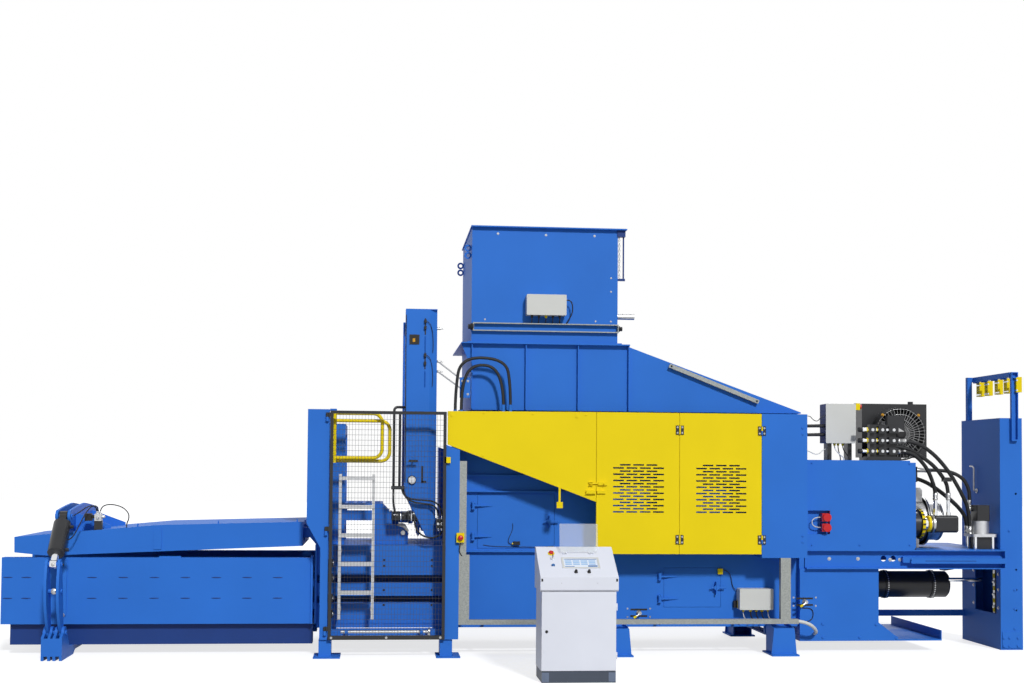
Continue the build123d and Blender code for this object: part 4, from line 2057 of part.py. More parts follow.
# Clear cover of the screen, swung up. It stands leaning back a little on its hinges.
COVER_LEAN = radians(8)
cover_axis = desk_point(COVER_AXIS_ALONG, COVER_AXIS_OUT)
cover_plane = Plane(
    (SCREEN[0], *cover_axis),
    x_dir=(1, 0, 0),
    z_dir=(0, -cos(COVER_LEAN), sin(COVER_LEAN)),
)
with BuildPart() as screen_cover:
    with BuildSketch(cover_plane.offset(-2)):
        with Locations((0, 9 + COVER_LENGTH / 2)):
            RectangleRounded(COVER_WIDTH, COVER_LENGTH, 10)
    extrude(amount=4)
    for x in (353, 591):
        with BuildSketch(crosswise(x - 10)):
            with Locations(cover_axis):
                Circle(7)
        extrude(amount=20)
        with BuildSketch(cover_plane.offset(-2)):
            with Locations((x - cover_plane.origin.X, 10)):
                Rectangle(20, 20)
        extrude(amount=4)
        with BuildSketch(crosswise(x - 12)):
            with Locations(cover_axis):
                Circle(3 + FIT)
        extrude(amount=24, mode=Mode.SUBTRACT)
finish(screen_cover, "screen_cover")

# Push buttons of the console: a mushroom head and a flat cap, each on its stem.
ESTOP_TRAVEL = 5
BUTTON_TRAVEL = 3
with BuildPart() as console_estop:
    with BuildSketch(desk_plane(BUTTON_X, ESTOP_ALONG - 5, -8)):
        Circle(BUTTON_BORE)
    extrude(amount=20)
    with BuildSketch(desk_plane(BUTTON_X, ESTOP_ALONG - 5, 3 + ESTOP_TRAVEL + CLEAR)):
        Circle(20)
    extrude(amount=16)
    chamfer(console_estop.faces().sort_by(Axis.Z)[-1].edges(), 4)
finish(console_estop, "console_estop")
with BuildPart() as console_button:
    with BuildSketch(desk_plane(BUTTON_X, BUTTON_ALONG, -8)):
        Circle(BUTTON_BORE)
    extrude(amount=8 + 3 + BUTTON_TRAVEL + CLEAR)
    with BuildSketch(desk_plane(BUTTON_X, BUTTON_ALONG, 3 + BUTTON_TRAVEL + CLEAR)):
        Circle(15)
    extrude(amount=5)
finish(console_button, "console_button")


# Hydraulic hoses. Each route is straight runs joined by arcs.
def corner_radii(route):
    """Radius at each corner that leaves a tenth of the shorter neighbouring run straight."""
    points = [Vector(*point) for point in route]
    runs = [end - start for start, end in zip(points, points[1:])]
    radii = []
    for before, after in zip(runs, runs[1:]):
        half_turn = radians(before.get_angle(after)) / 2
        radii.append(0.45 * min(before.length, after.length) / tan(half_turn))
    return radii


def hose(route, diameter):
    """Hose along a route of points."""
    with BuildPart() as tube:
        with BuildLine() as path:
            FilletPolyline(*route, radius=corner_radii(route))
        centre = path.wires()[0]
        with BuildSketch(Plane(centre @ 0, z_dir=centre % 0)):
            Circle(diameter / 2)
        sweep(path=centre)
    return tube


HOSE = 30
POWER_HOSE = 40
left_arch = [
    (-547, ARCH_Y, 2416),
    (-547, ARCH_Y, 2600),
    (-500, ARCH_Y, 2940),
    (-50, ARCH_Y, 2925),
    (-2, ARCH_Y, 2660),
    (-2, ARCH_Y, 2472),
]
arch_hose_left = hose(left_arch, HOSE)
finish(arch_hose_left, "arch_hose_left")
right_arch = [
    (-488, ARCH_Y, 2416),
    (-488, ARCH_Y, 2640),
    (-400, ARCH_Y, 2860),
    (-160, ARCH_Y, 2860),
    (-72, ARCH_Y, 2640),
    (-72, ARCH_Y, 2472),
]
arch_hose_right = hose(right_arch, HOSE)
finish(arch_hose_right, "arch_hose_right")
power_route = [
    (4064, VALVE_FRONT + 76, 2160),
    (4230, VALVE_FRONT + 76, 2160),
    (4430, -615, 2040),
    (4600, -600, 1860),
    (4740, -560, 1660),
    (4897, -450, 1440),
    (4897, -450, FRAME_TOP + 158),
]
power_hose = hose(power_route, POWER_HOSE)
finish(power_hose, "power_hose")
for name, route in (("left arch", left_arch), ("right arch", right_arch), ("power hose", power_route)):
    print(name, "bend radii", [round(radius) for radius in corner_radii(route)])
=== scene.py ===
# %% [markdown]
# # A channel baling press in Blender
#
# The press is a long machine: a bale channel on the left, a tying section with two
# needle masts, a pressing chamber under a hopper, a power unit and a wire tower on
# the right, and a console standing in front. Its plates, doors and cylinders come in
# as finished solids. This lesson gives them their paint, and adds what is too fine
# for the solids: screws, weld seams, small cables, hoses, valves and the screen.

# %% Load the solids
import json

import bpy
import numpy as np
from mathutils import Matrix, Vector


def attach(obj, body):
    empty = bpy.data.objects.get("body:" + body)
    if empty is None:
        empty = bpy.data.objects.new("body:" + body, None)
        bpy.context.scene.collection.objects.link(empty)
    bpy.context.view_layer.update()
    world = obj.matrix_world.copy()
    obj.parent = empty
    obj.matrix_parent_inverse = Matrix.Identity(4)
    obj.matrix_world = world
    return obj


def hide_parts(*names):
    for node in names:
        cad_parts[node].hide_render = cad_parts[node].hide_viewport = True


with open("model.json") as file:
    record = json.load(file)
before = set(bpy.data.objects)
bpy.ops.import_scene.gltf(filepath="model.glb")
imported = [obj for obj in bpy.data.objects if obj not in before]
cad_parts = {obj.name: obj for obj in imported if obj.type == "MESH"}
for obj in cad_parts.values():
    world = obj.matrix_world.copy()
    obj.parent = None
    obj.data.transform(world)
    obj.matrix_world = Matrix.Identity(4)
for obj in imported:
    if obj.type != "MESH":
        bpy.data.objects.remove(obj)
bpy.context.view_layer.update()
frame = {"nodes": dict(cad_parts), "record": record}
nodes = frame["nodes"]

# %% [markdown]
# ## Places
# The machine was measured in millimetres from a point on the floor, in the middle
# plane of its bale channel. A single shift puts those places into the scene's own
# frame, which starts under the middle of the footprint and counts in metres.

# %% Places in millimetres, turned into scene metres
SHIFT = np.array([-245.0, 752.1, 0.0])


def place(points):
    """Scene metres of machine millimetres: add the shift, then divide by a thousand."""
    return (np.asarray(points, dtype=float) + SHIFT) / 1000


# %% [markdown]
# ## Surfaces from arrays
# Every new piece below is either a box, a grid of points worked out from two
# parameters, or a profile carried along a path. Small helpers collect many such
# surfaces into one mesh, so that a row of screws is one object.

# %% Collect surfaces into one object
class Surface:
    """Points and faces of one piece, gathered shape by shape, in machine millimetres."""

    def __init__(self):
        self.points = []
        self.faces = []
        self.count = 0
        self.smooth = []

    def put(self, points, faces, smooth=False):
        """Appends points (n by 3) and faces, whose numbers count from this shape's first point."""
        points = np.asarray(points, dtype=float).reshape(-1, 3)
        self.points.append(points)
        self.faces += [[int(i) + self.count for i in face] for face in faces]
        self.smooth += [smooth] * len(faces)
        self.count += len(points)
        return self


def piece(name, surface, material, body="machine"):
    """A Blender object made of a Surface: its mesh holds the points in scene metres."""
    mesh = bpy.data.meshes.new(name)
    mesh.from_pydata(place(np.vstack(surface.points)).tolist(), [], surface.faces)
    mesh.polygons.foreach_set("use_smooth", surface.smooth)
    mesh.materials.append(material)
    mesh.update()
    made = bpy.data.objects.new(name, mesh)
    bpy.context.scene.collection.objects.link(made)
    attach(made, body)
    print(name, len(mesh.polygons), "faces")
    return made


def frame_of(axis):
    """The axis as a unit vector, and two unit vectors square to it and to each other, by cross products."""
    axis = np.asarray(axis, dtype=float)
    axis = axis / np.linalg.norm(axis)
    helper = np.eye(3)[np.argmin(np.abs(axis))]
    side = np.cross(axis, helper)
    side /= np.linalg.norm(side)
    return axis, side, np.cross(axis, side)


BOX_CORNERS = [(0, 0, 0), (1, 0, 0), (1, 1, 0), (0, 1, 0), (0, 0, 1), (1, 0, 1), (1, 1, 1), (0, 1, 1)]
BOX_FACES = [[0, 3, 2, 1], [4, 5, 6, 7], [0, 1, 5, 4], [1, 2, 6, 5], [2, 3, 7, 6], [3, 0, 4, 7]]


def block(surface, low, high):
    """A box between two corners: its eight points are all mixes of the two corners' coordinates."""
    points = np.where(BOX_CORNERS, np.maximum(low, high), np.minimum(low, high))
    return surface.put(points, BOX_FACES)


def ring_faces(rows, sides):
    """Quads between neighbouring rings: point j of ring i is number i·sides + j, and j wraps round."""
    i, j = np.meshgrid(np.arange(rows - 1), np.arange(sides), indexing="ij")
    k = (j + 1) % sides
    corners = [i * sides + j, i * sides + k, (i + 1) * sides + k, (i + 1) * sides + j]
    return np.stack(corners, -1).reshape(-1, 4)


def turned(surface, base, axis, profile, sides=16):
    """A turned shape: each (distance, radius) of the profile becomes a ring of points round the axis.

    A ring's point is base + axis·distance + radius·(side·cos a + up·sin a), for angles a spaced evenly.
    The two ends are closed by one face each, and more than eight sides are shaded smooth.
    """
    axis, side, up = frame_of(axis)
    angle = np.linspace(0, 2 * np.pi, sides, endpoint=False)
    spokes = np.outer(np.cos(angle), side) + np.outer(np.sin(angle), up)
    profile = np.asarray(profile, dtype=float)
    rings = np.asarray(base) + profile[:, None, :1] * axis + profile[:, None, 1:] * spokes
    surface.put(rings, ring_faces(len(profile), sides).tolist(), smooth=sides > 8)
    around = list(range(sides))
    return surface.put(rings[0], [around[::-1]]).put(rings[-1], [around])


def rod(surface, start, end, radius, sides=12):
    """A round bar between two points: a turned shape whose profile is one straight line."""
    start, end = np.asarray(start, dtype=float), np.asarray(end, dtype=float)
    length = np.linalg.norm(end - start)
    return turned(surface, start, end - start, [(0, radius), (length, radius)], sides)


def screws(surface, points, axis, radius=9, height=6):
    """Screws at every point: a twelve-sided washer under a six-sided head with a chamfer."""
    chamfer = 1.5
    washer = [(-1, radius * 1.35), (chamfer, radius * 1.35)]
    head = [(0, radius), (height - chamfer, radius), (height, radius * 0.8)]
    for point in np.atleast_2d(points):
        turned(surface, point, axis, washer, 12)
        turned(surface, point, axis, head, 6)
    return surface


print("helpers ready")

# %% [markdown]
# ## Finishes
# Nearly all of the press is powder-coated plate. Under soft light such paint shows a
# broad sheen, a faint orange-peel surface and slightly uneven dust. Each finish is
# one node material: a Principled shader, whose colour a large noise varies a little
# and whose normal a fine noise disturbs.

# %% A helper for one finish
def finish_of(name, colour, rough=0.4, metal=0.0, spread=0.06, grain=18.0, relief=0.03,
              relief_scale=220.0, coat=0.0, gloss=0.3):
    """A Principled material: colour = base · (1 ± spread) by coarse noise, and a bump by fine noise."""
    material = bpy.data.materials.new(name)
    material.use_nodes = True
    tree = material.node_tree
    shader = tree.nodes["Principled BSDF"]
    shader.inputs["Metallic"].default_value = metal
    shader.inputs["Roughness"].default_value = rough
    shader.inputs["Coat Weight"].default_value = coat
    shader.inputs["Specular IOR Level"].default_value = gloss
    shader.inputs["Coat Roughness"].default_value = 0.25
    where = tree.nodes.new("ShaderNodeTexCoord")
    noise = tree.nodes.new("ShaderNodeTexNoise")
    noise.inputs["Scale"].default_value = grain
    noise.inputs["Detail"].default_value = 3.0
    tree.links.new(where.outputs["Object"], noise.inputs["Vector"])
    ramp = tree.nodes.new("ShaderNodeValToRGB")
    base = np.array(colour)
    ramp.color_ramp.elements[0].position = 0.3
    ramp.color_ramp.elements[1].position = 0.7
    ramp.color_ramp.elements[0].color = (*np.clip(base * (1 - spread), 0, 1), 1)
    ramp.color_ramp.elements[1].color = (*np.clip(base * (1 + spread), 0, 1), 1)
    tree.links.new(noise.outputs["Fac"], ramp.inputs["Fac"])
    tree.links.new(ramp.outputs["Color"], shader.inputs["Base Color"])
    if relief:
        fine = tree.nodes.new("ShaderNodeTexNoise")
        fine.inputs["Scale"].default_value = relief_scale
        tree.links.new(where.outputs["Object"], fine.inputs["Vector"])
        bump = tree.nodes.new("ShaderNodeBump")
        bump.inputs["Strength"].default_value = relief
        bump.inputs["Distance"].default_value = 0.002
        tree.links.new(fine.outputs["Fac"], bump.inputs["Height"])
        tree.links.new(bump.outputs["Normal"], shader.inputs["Normal"])
    return material


def screen_colour(red, green, blue):
    """Linear colour of an 0 to 255 screen colour: the sRGB curve, undone."""
    value = np.array([red, green, blue]) / 255
    return np.where(value <= 0.04045, value / 12.92, ((value + 0.055) / 1.055) ** 2.4)


# %% The finishes of this press
BLUE = finish_of("blue_coat", screen_colour(46, 112, 204), 0.5, spread=0.05, grain=1.2, gloss=0.15)
# Deep blue serves for dark parts, and also as painted shade on the base beam and the cabinet's left side.
DEEP_BLUE = finish_of("deep_blue_and_painted_shade", screen_colour(20, 54, 118), 0.5, spread=0.08, grain=2.0)
YELLOW = finish_of("yellow_coat", screen_colour(236, 210, 14), 0.45, spread=0.03, grain=1.5, gloss=0.15)
BLACK = finish_of("black_coat", screen_colour(34, 35, 38), 0.35, coat=0.2, spread=0.15, grain=6.0)
BLACK_PLASTIC = finish_of("black_plastic", screen_colour(28, 28, 30), 0.5, spread=0.1)
RUBBER = finish_of("hose_rubber", screen_colour(30, 31, 33), 0.55, spread=0.1, grain=60.0)
CHROME = finish_of("hard_chrome", screen_colour(225, 227, 230), 0.12, metal=1.0, spread=0.02, relief=0.0)
STEEL = finish_of("bright_steel", screen_colour(176, 177, 178), 0.35, metal=1.0, grain=40.0)
WIRE = finish_of("mesh_wire", screen_colour(84, 88, 94), 0.45, metal=0.6, spread=0.1, grain=40.0)
ALUMINIUM = finish_of("cast_aluminium", screen_colour(190, 191, 193), 0.45, metal=0.8, grain=30.0,
                      relief=0.1)
GREY = finish_of("grey_enamel", screen_colour(206, 207, 203), 0.45, spread=0.03, grain=3.0)
LIGHT = finish_of("console_enamel", screen_colour(224, 227, 237), 0.42, spread=0.02, grain=3.0,
                  relief=0.06, relief_scale=600.0)
SLATE = finish_of("slate_plinth", screen_colour(70, 77, 90), 0.5, spread=0.05, grain=6.0)
RED = finish_of("red_plastic", screen_colour(196, 16, 26), 0.3, spread=0.03, coat=0.3)
AMBER = finish_of("amber_lens", screen_colour(206, 150, 40), 0.3, spread=0.1, grain=60.0)
BUTTON_BLUE = finish_of("blue_key", screen_colour(40, 104, 168), 0.3, coat=0.3, spread=0.03)
WHITE = finish_of("white_plate", screen_colour(232, 234, 236), 0.45, spread=0.02)
PALE_BLUE = finish_of("pale_blue_key", screen_colour(150, 188, 226), 0.35, spread=0.03)
print(len(bpy.data.materials), "finishes")

# %% [markdown]
# Galvanised sheet shows flat crystals of zinc, each with its own brightness. Cells
# of a Voronoi pattern give one random value each, which picks the grey of a crystal.
# The clear cover over the screen is a see-through sheet with a low alpha.

# %% Galvanised sheet and the clear cover
ZINC = bpy.data.materials.new("zinc_spangle")
ZINC.use_nodes = True
tree = ZINC.node_tree
where = tree.nodes.new("ShaderNodeTexCoord")
cells = tree.nodes.new("ShaderNodeTexVoronoi")
cells.inputs["Scale"].default_value = 90.0
ramp = tree.nodes.new("ShaderNodeValToRGB")
ramp.color_ramp.elements[0].color = (*screen_colour(134, 138, 136), 1)
ramp.color_ramp.elements[1].color = (*screen_colour(158, 162, 158), 1)
tree.links.new(where.outputs["Object"], cells.inputs["Vector"])
tree.links.new(cells.outputs["Color"], ramp.inputs["Fac"])
tree.links.new(ramp.outputs["Color"], tree.nodes["Principled BSDF"].inputs["Base Color"])
tree.nodes["Principled BSDF"].inputs["Metallic"].default_value = 0.35
tree.nodes["Principled BSDF"].inputs["Roughness"].default_value = 0.5

CLEAR = bpy.data.materials.new("clear_sheet")
CLEAR.use_nodes = True
clear = CLEAR.node_tree.nodes["Principled BSDF"]
clear.inputs["Base Color"].default_value = (*screen_colour(236, 242, 246), 1)
clear.inputs["Roughness"].default_value = 0.08
clear.inputs["Alpha"].default_value = 0.22
clear.inputs["IOR"].default_value = 1.49
print("zinc and clear sheet")

# %% [markdown]
# ## Paint the solids
# The record says which finish each solid has. Some solids carry more than one, as
# the console with its dark plinth does: there the faces whose middles lie in a box
# get another material. Two such boxes hold painted shade: the base beam under the
# bale channel and the switch cabinet's left side are painted dark blue where they
# lie in shadow.

# %% Give each solid its finish
FINISH = {
    "blue_paint": BLUE,
    "yellow_paint": YELLOW,
    "black_paint": BLACK,
    "steel_wire": STEEL,
    "chrome": CHROME,
    "galvanised": ZINC,
    "grey_enamel": GREY,
    "light_enamel": LIGHT,
    "cast_aluminium": ALUMINIUM,
    "black_plastic": BLACK_PLASTIC,
    "clear_sheet": CLEAR,
    "red_plastic": RED,
    "blue_plastic": BUTTON_BLUE,
    "hose_rubber": RUBBER,
}
for row in frame["record"]["subparts"]:
    node = nodes[row["node"]]
    node.data.materials.clear()
    node.data.materials.append(FINISH[row["material_slot"]])


def repaint(name, material, low, high):
    """Gives the faces of a solid whose middles lie between two machine corners another finish."""
    mesh = nodes[name].data
    middles = np.empty(len(mesh.polygons) * 3)
    mesh.polygons.foreach_get("center", middles)
    middles = middles.reshape(-1, 3)
    inside = np.all((middles >= place(low)) & (middles <= place(high)), axis=1)
    index = np.empty(len(mesh.polygons), dtype=np.int32)
    mesh.polygons.foreach_get("material_index", index)
    if mesh.materials.find(material.name) < 0:
        mesh.materials.append(material)
    index[inside] = mesh.materials.find(material.name)
    mesh.polygons.foreach_set("material_index", index)
    print(name, int(inside.sum()), "faces in", material.name)


FAR = 9000
WHOLE = ((-FAR, -FAR, 0), (FAR, FAR, FAR))
REPAINTED = (
    ("console_cabinet", SLATE, (0, -FAR, -5), (1000, FAR, 101)),
    # painted shade: the base beam lies in the channel side's shadow, so its front is painted dark blue
    ("channel_floor", DEEP_BLUE, (-FAR, -600, 96), (-1990, -560, 299)),
    ("ladder", ALUMINIUM, *WHOLE),
    ("wire_tower", YELLOW, (5321, -645, 2665), (5405, 345, 2840)),
    ("oil_tank", RED, (3190, -815, 1215), (3300, -700, 1425)),
    ("hopper", STEEL, (1092, -700, 3350), (1280, -620, 3430)),
    ("hopper", ZINC, (-380, -800, 3205), (1100, -751, 3300)),
    # painted shade: the switch cabinet's left side, turned away from the key lamp, is painted dark blue
    ("electrical_boxes", DEEP_BLUE, (3305, -560, 2120), (3316, -340, 2545)),
    ("electrical_boxes", YELLOW, (3633, -555, 2470), (3680, -475, 2555)),
    ("electrical_boxes", RED, (3680, -545, 2480), (3705, -485, 2545)),
    ("electrical_boxes", BLACK, (3340, -505, 1950), (3610, -375, 2130)),
    ("pump_motor", BLACK, (3855, -320, 1087), (4180, 140, 1560)),
    ("hydraulic_pump", YELLOW, (4301, -690, 1150), (4331, -375, 1460)),
    ("hydraulic_pump", CHROME, (4332, -690, 1200), (4399, -375, 1400)),
    ("hydraulic_pump", YELLOW, (4400, -690, 1200), (4425, -375, 1400)),
    ("hydraulic_pump", STEEL, (4426, -690, 1200), (4461, -375, 1400)),
    ("hydraulic_pump", CHROME, (4455, -580, 1395), (4665, -480, 1560)),
    ("filter_unit", BLACK, (4900, -540, 1334), (5120, -360, 1500)),
    ("filter_unit", BLACK, (4934, -542, 1040), (5086, -358, 1166)),
    ("filter_unit", CHROME, (4890, -565, 1040), (4932, -335, 1166)),
    ("filter_unit", CHROME, (5088, -565, 1040), (5130, -335, 1166)),
    ("valve_block", STEEL, (4021, -665, 2010), (4070, -590, 2310)),
    ("valve_block", STEEL, (4331, -420, 1830), (4455, -360, 1890)),
)
for name, material, low, high in REPAINTED:
    repaint(name, material, low, high)

# %% [markdown]
# ## Where a small piece sits
# A screw or a sensor is easy to place along and up, as the photograph shows both.
# Its depth is that of the plate behind it, so a ray sent from the front finds it.

# %% Find the plate behind a place
bpy.context.view_layer.update()
depths = bpy.context.evaluated_depsgraph_get()


def seat(x, z, start=-4000, stop=4000):
    """Machine point where a ray along +Y at (x, z), from depth start, meets a solid; at stop if none."""
    origin = place((x, start, z))
    hit, where, *_ = bpy.context.scene.ray_cast(depths, origin.tolist(), (0, 1, 0))
    y = where.y * 1000 - SHIFT[1] if hit else stop
    return np.array([x, min(y, stop), z])


def seats(pairs, start=-4000):
    """Seats of many (x, z) pairs, one row each."""
    return np.array([seat(x, z, start) for x, z in pairs])


FRONT, LEFT, RIGHT = (0, -1, 0), (-1, 0, 0), (1, 0, 0)
UP, DOWN = (0, 0, 1), (0, 0, -1)
print("channel side at depth", seat(-3000, 600)[1])

# %% [markdown]
# ## Screws
# Panels are held by hexagon screws with washers. The screws of one area and colour
# are one object, and each sits where the ray finds its plate.

# %% Screws on the standing plates
def panel_screws(name, material, groups, body="machine"):
    """One piece of screws on plates: each group holds (x, z) pairs, a head's radius and its height."""
    surface = Surface()
    for pairs, radius, height in groups:
        screws(surface, seats(pairs), FRONT, radius, height)
    piece(name, surface, material, body=body)


panel_screws("plate_screws", BLUE, (
    ([(2943, z) for z in (2272, 2212, 1191, 1131)], 11, 8),
    ([(3100, 1925), (4128, 1925), (3100, 1092), (4128, 1092), (3600, 1092)], 10, 8),
    ([(5313, 621), (5313, 424), (5313, 218), (5259, 1233)], 13, 8),
    ([(x, z) for z in (125, 40) for x in (5191, 5250, 5342)], 13, 9),
    ([(3230, 286), (3791, 279), (3230, 149), (3618, 148), (4002, 141)], 14, 9),
))
strip_bolts = Surface()
screws(strip_bolts, seats([(-4332, 873), (-4330, 390)], -715), FRONT, 19, 14)
screws(strip_bolts, seats([(-4333, 905), (-4298, 263)]), FRONT, 14, 10)
screws(strip_bolts, seats([(-4326, 651)]), FRONT, 21, 15)
piece("strip_bolts", strip_bolts, STEEL)
FRAME_SCREWS = [(3303, 947), (3605, 947), (3945, 938), (4048, 938)]
panel_screws("frame_screws", STEEL, ((FRAME_SCREWS, 14, 9),))
RAIL_SCREWS = [(-1730, 197), (-1200, 197), (-677, 197)]
panel_screws("rail_screws", STEEL, ((RAIL_SCREWS, 9, 7),), body="mesh_door_leaf")
GUARD_SCREWS = [(-268, 2385), (216, 2381), (744, 2377), (-274, 1963), (743, 1591)]
panel_screws("guard_screws", YELLOW, ((GUARD_SCREWS, 9, 6),))

# %% [markdown]
# ## Weld seams of the bale channel
# The channel's side is a plate welded to ribs behind it. Two rows of short plug
# welds show where. A bead is a low ellipsoid: half-axes along, up and out of the
# plate multiply the cosines and sines of two angles on a grid.

# %% Plug-weld beads
def bead(surface, centre, half, rows=5, sides=12):
    """Half an ellipsoid on a plate: centre + (a·sin u·cos v, -c·cos u, b·sin u·sin v).

    The half-axes are a along, c out and b up; u runs from the crown to 90° and v all round.
    """
    a, c, b = half
    crown = 0.02
    tilt = np.linspace(crown, np.pi / 2, rows)
    turn = np.linspace(0, 2 * np.pi, sides, endpoint=False)
    u, v = np.meshgrid(tilt, turn, indexing="ij")
    points = np.stack([a * np.sin(u) * np.cos(v), -c * np.cos(u), b * np.sin(u) * np.sin(v)], -1)
    quads = ring_faces(rows, sides)[:, [0, 3, 2, 1]]
    return surface.put(points + np.asarray(centre), quads.tolist() + [list(range(sides))], smooth=True)


RIB_PITCH = 297.5
SEAM_X = np.concatenate([[-4849, -4675], -4053 + RIB_PITCH * np.arange(7)])
SEAM_HEIGHTS = (752, 550)
beads = Surface()
for z in SEAM_HEIGHTS:
    for x in SEAM_X:
        bead(beads, seat(x, z) + (0, 0.5, 0), (50, 5, 6))
piece("plug_welds", beads, DEEP_BLUE)

# %% [markdown]
# ## Cables
# Every cable is a curve with a round section: a NURBS curve that a few control
# points pull along, so that it bends smoothly. The curve is turned into points
# before it gets its thickness, which is the cable's diameter.

# %% A helper for cables
def cable(name, route, diameter, material, body="machine"):
    """A cable along machine points: an order-3 NURBS curve with a round section of the given diameter."""
    curve = bpy.data.curves.new(name, "CURVE")
    curve.dimensions = "3D"
    spline = curve.splines.new("NURBS")
    spline.points.add(len(route) - 1)
    points = np.column_stack([place(route), np.ones(len(route))])
    spline.points.foreach_set("co", points.ravel())
    spline.order_u = 3
    spline.use_endpoint_u = True
    spline.resolution_u = 10
    made = bpy.data.objects.new(name, curve)
    bpy.context.scene.collection.objects.link(made)
    bpy.context.view_layer.update()
    line = made.evaluated_get(bpy.context.evaluated_depsgraph_get()).to_mesh()
    along = np.empty(len(line.vertices) * 3)
    line.vertices.foreach_get("co", along)
    curve.bevel_depth = diameter / 2000
    curve.bevel_resolution = 3
    curve.use_fill_caps = True
    curve.materials.append(material)
    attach(made, body)
    return made


# %% [markdown]
# ## The three large hoses
# Two hoses stand in arches over the guard's upper edge, and one runs from the valve
# block down to the filter. The solids have the same routes in straight runs and
# arcs; here the curves take their place.

# %% Arched hoses and the power hose
ARCH_Y = -892
LEFT_ARCH = [(-547, 2416), (-547, 2600), (-500, 2940), (-50, 2925), (-2, 2660), (-2, 2472)]
RIGHT_ARCH = [(-488, 2416), (-488, 2640), (-400, 2860), (-160, 2860), (-72, 2640), (-72, 2472)]
POWER_ROUTE = [
    (4064, -624, 2160), (4230, -624, 2160), (4430, -615, 2040), (4600, -600, 1860), (4740, -560, 1660),
    (4897, -450, 1440), (4897, -450, 1198),
]
for name, route in (("arch_hose_left", LEFT_ARCH), ("arch_hose_right", RIGHT_ARCH)):
    made = cable(name + "_line", [(x, ARCH_Y, z) for x, z in route], 30, RUBBER)
    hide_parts(name)
made = cable("power_hose_line", POWER_ROUTE, 40, RUBBER)
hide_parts("power_hose")

# %% [markdown]
# ## Needle masts and the cage between them
# The front mast carries a square sight glass, two slots with sensors, and a cable
# down its left edge. Behind the mesh door stand two bent black tubes, a handle and
# a dial.

# %% Fittings on the front mast
MAST_FRONT = seat(-960, 3000)[1]


def mast(x, out, z):
    """Machine point at the front mast: out counts from its front plate towards the operator."""
    return np.array([x, MAST_FRONT - out, z])


piece("sight_glass_frame", block(Surface(), mast(-1000, 6, 3068), mast(-902, -2, 3166)), BLACK)
smoked_glass = finish_of("smoked_glass", screen_colour(46, 44, 42), 0.15, spread=0.05, relief=0.0)
piece("sight_glass", block(Surface(), mast(-990, 8, 3078), mast(-912, 2, 3156)), smoked_glass)
piece("sight_lamp", block(Surface(), mast(-968, 9, 3092), mast(-944, 7, 3128)), AMBER)
slots = Surface()
for low in (3165, 2824):
    block(slots, mast(-850, 3, low), mast(-838, -2, low + 165))
for z in (3300, 3235, 2960, 2880):
    block(slots, mast(-856, 26, z - 16), mast(-832, 0, z + 16))
piece("mast_slots", slots, BLACK_PLASTIC)
sensors = Surface()
for z in (3235, 2906, 2806):
    rod(sensors, mast(-724, -60, z), mast(-690, -60, z), 13)
    rod(sensors, mast(-690, -60, z), mast(-664, -60, z), 8)
piece("mast_sensors", sensors, STEEL)

# %% Cables of the front mast
MAST_CABLES = {
    "mast_cable": [
        (-1034, 6, 3360), (-1036, 7, 3000), (-1033, 7, 2600), (-1030, 7, 2200), (-1030, 7, 1700),
    ],
    "slot_cable_high": [
        (-832, 14, 3300), (-800, 18, 3290), (-770, -5, 3200), (-762, -6, 3050), (-768, -4, 2990),
    ],
    "slot_cable_low": [
        (-832, 14, 2960), (-802, 18, 2950), (-772, -5, 2860), (-764, -6, 2730), (-770, -4, 2650),
    ],
}
for name, route in MAST_CABLES.items():
    size, lay = (9, "taut") if name == "mast_cable" else (6, "hanging")
    cable(name, [mast(*point) for point in route], size, BLACK_PLASTIC)

# %% [markdown]
# The bent tubes are profiles carried along a path: a circle is placed at each point
# of the path, square to the path there. The path is a row of points with rounded
# corners, found by mixing three neighbouring points with the weights of a parabola.

# %% Bent tubes
def rounded(corners, steps=6, share=0.35, longest=120):
    """A path with rounded corners: each corner becomes the parabola (1-t)²·a + 2t(1-t)·corner + t²·b.

    Its ends a and b lie on the two straight runs, at a share of the shorter one and at most longest away.
    """
    corners = np.asarray(corners, dtype=float)
    t = np.linspace(0, 1, steps)[:, None]
    path = [corners[:1]]
    for before, here, after in zip(corners, corners[1:], corners[2:]):
        back, ahead = np.linalg.norm(before - here), np.linalg.norm(after - here)
        reach = share * min(back, ahead, longest / share)
        a = here + (before - here) / back * reach
        b = here + (after - here) / ahead * reach
        path.append((1 - t) ** 2 * a + 2 * t * (1 - t) * here + t ** 2 * b)
    path.append(corners[-1:])
    return np.vstack(path)


def tube(surface, path, radius, sides=12):
    """A round tube: ring i is path[i] + radius·(n·cos a + b·sin a), with n and b square to the path.

    The cross product of the path's direction and a helper gives n. The helper lies near the axis
    along which the path spreads least, and a little off it, so the two are never parallel.
    """
    path = np.asarray(path, dtype=float)
    along = np.gradient(path, axis=0)
    along /= np.linalg.norm(along, axis=1)[:, None]
    spread = path.max(axis=0) - path.min(axis=0)
    off_axis = 0.013
    helper = np.eye(3)[np.argmin(spread)] + off_axis
    n = np.cross(along, helper)
    n /= np.linalg.norm(n, axis=1)[:, None]
    b = np.cross(along, n)
    angle = np.linspace(0, 2 * np.pi, sides, endpoint=False)[:, None]
    rings = path[:, None] + radius * (np.cos(angle) * n[:, None] + np.sin(angle) * b[:, None])
    ends = [list(range(sides))[::-1], list(range(sides * (len(path) - 1), sides * len(path)))]
    return surface.put(rings, ring_faces(len(path), sides).tolist() + ends, smooth=True)


cage = Surface()
tube(cage, rounded([(-1144, -800, 1655), (-1144, -800, 2440), (-1036, -748, 2440)]), 13)
tube(cage, rounded([(-1086, -800, 1655), (-1086, -800, 2384), (-1034, -748, 2384)]), 13)
block(cage, (-1166, -822, 1628), (-1034, -748, 1662))
piece("cage_tubes", cage, BLACK)

